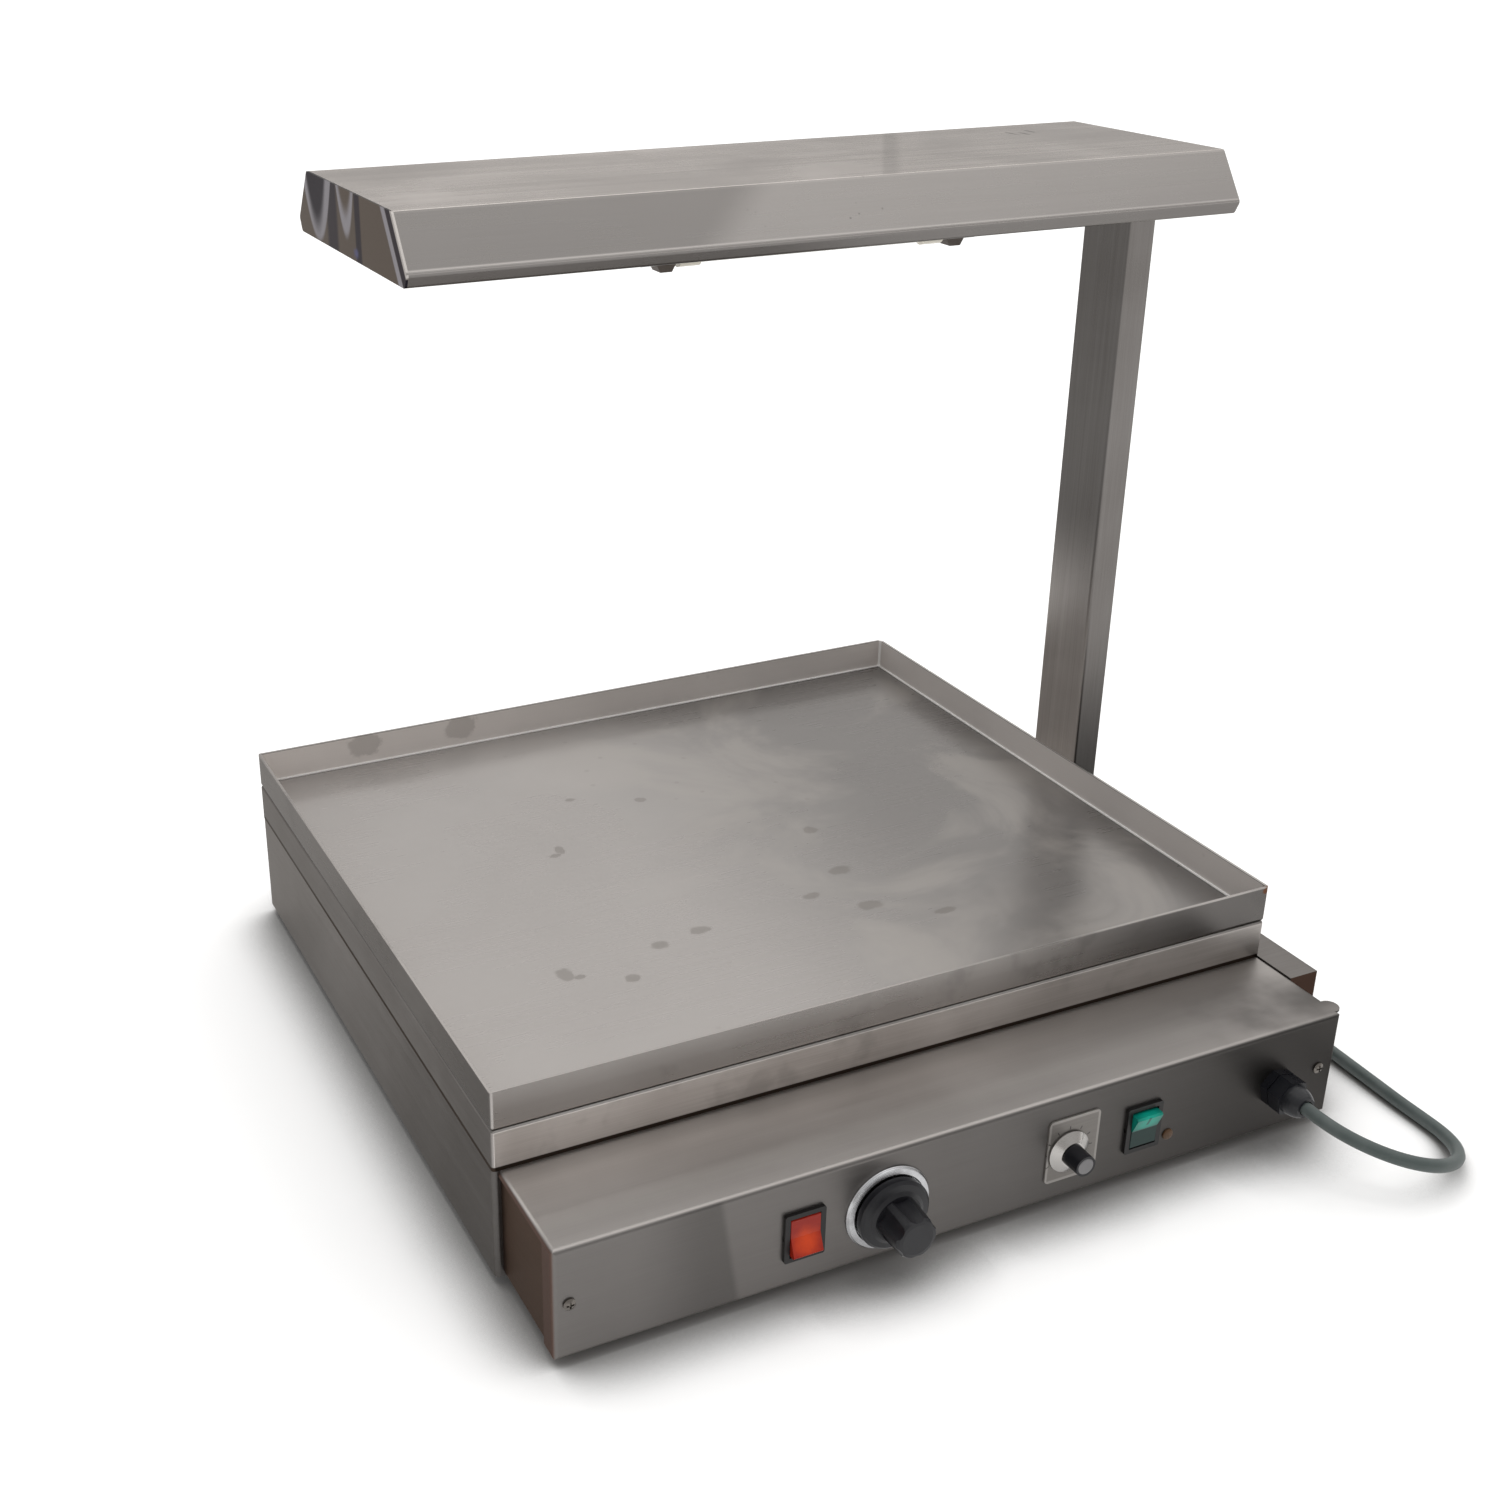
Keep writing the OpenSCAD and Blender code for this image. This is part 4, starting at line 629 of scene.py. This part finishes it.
# Painted shade: the duct's front is dark brown.
tinted(duct_steel, duct_steel.front, tone(62, 48, 42))
coat(sealed(duct_steel), "side_duct")
post_steel = steel("post_steel", 0.30, grain="z", streak=0.6, spread=0.2)
# Painted light and shade: the tube's front is darker low down and lighter higher up, its left
# side lighter low down and darker higher up.
post_front = graded(post_steel, post_steel.z, 0.11, 0.24, 62, 116)
post_left = graded(post_steel, post_steel.z, 0.13, 0.30, 204, 86)
post_steel.paint = post_steel.mix(post_steel.left, post_front, post_left)
coat(sealed(post_steel), "post")

# Hood: one folded channel of ground stainless with flat ends welded on. The left end is
# buffed bright, with the room's dark and light crescents painted on it as reflections.
hood_steel = steel("hood_steel", 0.27, streak=0.3, cloud=0.5, spread=0.08, wave=0.0003)
hood_steel.ragged = hood_steel.noise(hood_steel.spot, 400.0, 2.0)
hood_top_z = 0.5305
# Painted light and reflections: the top is much lighter than the sloping front, slightly
# darker to the right, with a darker slanting band; the slope steps from darker to lighter
# across a slanting line.
across_top = hood_steel.x + hood_steel.y * -0.62
reflected_band = across_top.fade(0.046, 0.050) * across_top.fade(0.062, 0.054)
top_paint = graded(hood_steel, hood_steel.x, -0.10, 0.08, 243, 228)
top_paint = hood_steel.mix(reflected_band * 0.5, top_paint, grey(188))
along_slope = hood_steel.x + hood_steel.z * -1.2
slope_paint = graded(hood_steel, along_slope, -0.698, -0.664, 127, 146)
hood_steel.paint = hood_steel.mix(hood_steel.top, slope_paint, top_paint)
# Painted highlight on the lower fold, and painted shade on the lip below it.
lower_fold_highlight, lip_shade = hood_steel.z.fade(0.5054, 0.5044), hood_steel.z.fade(0.5036, 0.5026)
tinted(hood_steel, lower_fold_highlight, grey(172))
tinted(hood_steel, lip_shade, grey(118))
pits = (hood_steel.cells(hood_steel.spot, 120.0).fade(0.10, 0.04)
        * hood_steel.noise(hood_steel.spot, 9.0, 2.0).fade(0.50, 0.62)
        * hood_steel.x.fade(-0.12, 0.04))
tinted(hood_steel, pits * 0.6, grey(84))
for x, y, long in ((0.190, 0.082, 0.010), (0.197, 0.078, 0.008), (0.206, 0.085, 0.010)):
    scratch = blotch(hood_steel, (x, y, hood_top_z), (0.0016, long, 0.002), 0.6)
    tinted(hood_steel, scratch * 0.7, grey(130))
coat(sealed(hood_steel), "hood_shell", "hood_end_right")

buffed = steel("buffed_end", 0.22, streak=0.1, cloud=0.2, spread=0.08, wave=0.0006)
buffed.ragged = buffed.noise(buffed.spot, 300.0, 1.0)


def crescent(middle_y, half_width, depth):
    """Below 1 inside a U that hangs from the end's top edge, above 1 outside it."""
    aside = (buffed.y - middle_y) / half_width
    return (hood_top_z - buffed.z) / depth + aside * aside


def stripe(along, middle, half_width):
    """1 along the middle of a band and 0 outside it, with soft sides."""
    return (along - middle).size().fade(half_width * 1.3, half_width * 0.7)


# Painted reflections on the buffed end: upright and slanting stripes, light arcs and a dark
# core that hang from the top edge, and a bluish spot.
wall_tone, dark_tone, light_tone = tone(88, 80, 74), tone(46, 44, 52), tone(140, 138, 144)
upright = stripe(buffed.y, 0.028, 0.0045).most(stripe(buffed.y, 0.072, 0.009))
slant = (buffed.y + 0.0265) * 0.82 - (buffed.z - 0.5294) * 0.572
painted_reflections = buffed.mix(upright, wall_tone, dark_tone)
painted_reflections = buffed.mix(stripe(slant, 0.0105, 0.0028), painted_reflections, light_tone)
painted_reflections = buffed.mix(stripe(slant, 0.0045, 0.0032), painted_reflections, dark_tone)
painted_reflections = buffed.mix(slant.fade(0.0020, 0.0010), painted_reflections, grey(174))
thin_arc = crescent(0.048, 0.0135, 0.0200)
painted_reflections = buffed.mix(thin_arc.fade(1.35, 1.05) * thin_arc.fade(0.35, 0.9), painted_reflections, light_tone)
wide_arc = crescent(0.0985, 0.0263, 0.0330)
painted_reflections = buffed.mix(wide_arc.fade(1.10, 0.96), painted_reflections, light_tone)
core = crescent(0.1000, 0.0160, 0.0205)
painted_reflections = buffed.mix(core.fade(1.7, 0.9), painted_reflections, tone(30, 30, 42))
blue_reflection = blotch(buffed, (-0.242, 0.0328, 0.5000), (0.02, 0.0050, 0.0040), 0.8)
buffed.paint = buffed.mix(blue_reflection, painted_reflections, tone(84, 86, 118))
coat(sealed(buffed), "hood_end_left")

# Reflector and lamps: bright rolled aluminium bent to two troughs. Under each hangs a
# quartz tube lamp in ceramic caps, held by two dark ceramic holders on steel angles.
bright_sheet = plain_metal("bright_aluminium", (0.80, 0.80, 0.81, 1), 0.12, 0.04, 60.0)
coat(bright_sheet, "reflector")
quartz = Finish("frosted_quartz", Roughness=0.3, Coat_Weight=0.6, Coat_Roughness=0.08)
quartz_place = quartz.place()
frosting = quartz.noise(quartz.scaled(quartz_place, (0.2, 1.0, 1.0)), 300.0, 3.0)
quartz.feed("Base Color", quartz.mix(frosting, (0.62, 0.585, 0.52, 1),
                                     (0.78, 0.755, 0.70, 1)))
quartz.feed("Normal", quartz.bump(frosting, 0.00005, 0.3))
coat(quartz.material, "lamp_tubes")
coat(plain_metal("resistance_wire", (0.30, 0.30, 0.31, 1), 0.4), "lamp_filaments")
glaze = moulded("glazed_ceramic", tone(226, 221, 208), 0.28, 400.0, 0.00005, -0.4)
coat(glaze, "lamp_caps", "lamp_terminal_block")
dark_ceramic = moulded("dark_ceramic", tone(72, 62, 54), 0.6, 600.0, 0.0001, 0.6)
coat(dark_ceramic, "lamp_holders")


def braided(name, light_thread, dark_thread, scale):
    """Woven sleeve or printed insulation: a fine diagonal weave."""
    cloth = Finish(name, Roughness=0.7)
    place = cloth.place()
    weave = cloth.cells(place, scale)
    cloth.feed("Base Color", cloth.mix(weave.fade(0.2, 0.7), light_thread, dark_thread))
    cloth.feed("Normal", cloth.bump(weave, 0.0001, 0.5))
    return cloth.material


coat(braided("glass_sleeve", tone(226, 218, 196), tone(176, 166, 142), 1800.0), "lamp_wiring")
coat(braided("brown_insulation", tone(128, 66, 40), tone(104, 50, 30), 900.0), "mains_wiring")
coat(moulded("cream_block", tone(228, 222, 206), 0.45, 500.0, 0.00005, -0.4),
     "terminal_block")

# Regulator: the control that sets the plate's heat. A spun aluminium ring lies on the
# panel, and over it turns a moulded black knob with a skirt and a six-sided grip.
ring = Finish("spun_aluminium", Metallic=1.0)
ring_place = ring.place()
ring_x, ring_z = -0.067, 0.038
from_centre = ring.scaled(ring.moved(ring_place, (-ring_x, 0.0, -ring_z)), (1.0, 0.0, 1.0))
turning = ring.length(from_centre)
lathe = turning.math("SINE", turning * 9000.0)
haze = ring.noise(ring_place, 90.0, 3.0)
ring.feed("Base Color", ring.mix(haze.fade(0.35, 0.7), tone(196, 197, 199),
                                 tone(168, 168, 170)))
ring.feed("Roughness", haze * 0.12 + lathe * 0.03 + 0.20)
ring.feed("Normal", ring.bump(lathe, 0.00002, 0.5))
coat(ring.material, "regulator_bezel")
knob_black = moulded("knob_plastic", tone(17, 17, 22), 0.30, 1500.0, 0.00002, 0.15,
                     Specular_IOR_Level=0.35)
coat(knob_black, "regulator_knob")

# Dimmer: the control that sets the lamps. A printed aluminium plate carries its scale,
# and a ribbed black knob with a spun skirt and cap turns on the potentiometer's shaft.
coat(braided("circuit_board", tone(74, 96, 70), tone(54, 74, 54), 300.0), "dimmer_module")
plate = Finish("scale_plate", Metallic=0.6)
plate_place = plate.place()
plate_grain = plate.noise(plate.scaled(plate_place, (0.02, 1.0, 1.0)), 1300.0, 2.0)
plate_x, plate_z, half_wide, half_high = 0.0515, 0.0395, 0.017, 0.0205
shaft_x, shaft_z, scale_in, scale_out, steps_per_turn = 0.0485, 0.038, 0.0139, 0.0161, 12
across, up = plate.part(plate_place, 0), plate.part(plate_place, 2)
to_edge = ((across - plate_x).size() / half_wide).most((up - plate_z).size() / half_high)
aside, above = across - shaft_x, up - shaft_z
square = aside * aside + above * above
reach = square.math("SQRT", square)
turn = aside.math("ARCTAN2", aside, above)
between_ticks = turn.math("FRACT", turn * (steps_per_turn / math.tau)) - 0.5
soft = 0.0001
on_scale = (reach.fade(scale_in - soft, scale_in + soft)
            * reach.fade(scale_out + soft, scale_out - soft) * turn.size().fade(2.5, 2.4))
scale_marks = between_ticks.size().fade(0.45, 0.47) * on_scale
metal_face = plate.mix(plate_grain, tone(112, 108, 104), tone(128, 124, 120))
# Painted highlight: a lighter band round the plate's edge.
bordered = plate.mix(to_edge.fade(0.90, 0.93), metal_face, tone(148, 144, 140))
plate.feed("Base Color", plate.mix(scale_marks * 0.8, bordered, tone(40, 38, 38)))
plate.feed("Roughness", plate_grain * 0.15 + 0.32)
coat(plate.material, "dimmer_plate")
coat(plain_metal("spun_skirt", tone(186, 183, 180), 0.20, 0.06, 160.0), "dimmer_skirt")
coat(plain_metal("knob_cap", tone(128, 127, 128), 0.34, 0.08, 160.0), "dimmer_knob_cap")
coat(knob_black, "dimmer_knob")


# Switches: two rocker switches, pushed into the panel until their latches spring out. The
# rockers are translucent coloured plastic over a small neon lamp.
def lens(name, deep, bright, centre, shade_below=None):
    """Coloured translucent plastic, brighter where the lamp sits behind it."""
    plastic = Finish(name, Specular_IOR_Level=0.25, Coat_Weight=0.12, Coat_Roughness=0.15)
    place = plastic.place()
    from_lamp = plastic.moved(place, tuple(-c for c in centre))
    lamplight = plastic.length(from_lamp).fade(0.011, 0.002)
    cloudy = plastic.noise(place, 240.0, 3.0)
    colour = plastic.mix(lamplight * 0.8 + (cloudy - 0.5) * 0.5, deep, bright)
    if shade_below:
        lower_half = plastic.part(place, 2).fade(0.0390, 0.0375)
        colour = plastic.mix(lower_half, colour, shade_below)
        line = (plastic.part(from_lamp, 0).size().fade(0.0011, 0.0007)
                * (plastic.part(from_lamp, 2) - 0.0005).size().fade(0.0032, 0.0028))
        colour = plastic.mix(line * 0.8, colour, tone(6, 50, 50))
    plastic.feed("Base Color", colour)
    plastic.feed("Roughness", cloudy * 0.14 + 0.26)
    plastic.feed("Normal", plastic.bump(cloudy, 0.00003, 0.3))
    return plastic.material


coat(moulded("switch_plastic", tone(20, 18, 18), 0.36, 1200.0, 0.00002, 0.15,
             Specular_IOR_Level=0.35), "red_switch_body", "green_switch_body")
coat(lens("red_plastic", tone(150, 28, 8), tone(216, 70, 18), (-0.1175, -0.245, 0.036)),
     "red_rocker")
coat(lens("green_plastic", tone(4, 118, 104), tone(10, 168, 146), (0.0995, -0.245, 0.044),
          tone(14, 46, 42)), "green_rocker")
coat(lens("brown_lens", tone(62, 44, 28), tone(88, 62, 38), (0.119, -0.243, 0.0265)),
     "indicator_lens")

# Cable gland: a moulded nylon gland that clamps the cord where it enters the box.
nylon = moulded("gland_nylon", tone(20, 21, 26), 0.26, 1100.0, 0.00002, 0.1,
                Specular_IOR_Level=0.35)
coat(nylon, "gland_body", "gland_locknut", "gland_nut")
coat(moulded("seal_rubber", tone(36, 36, 36), 0.7), "gland_seal")
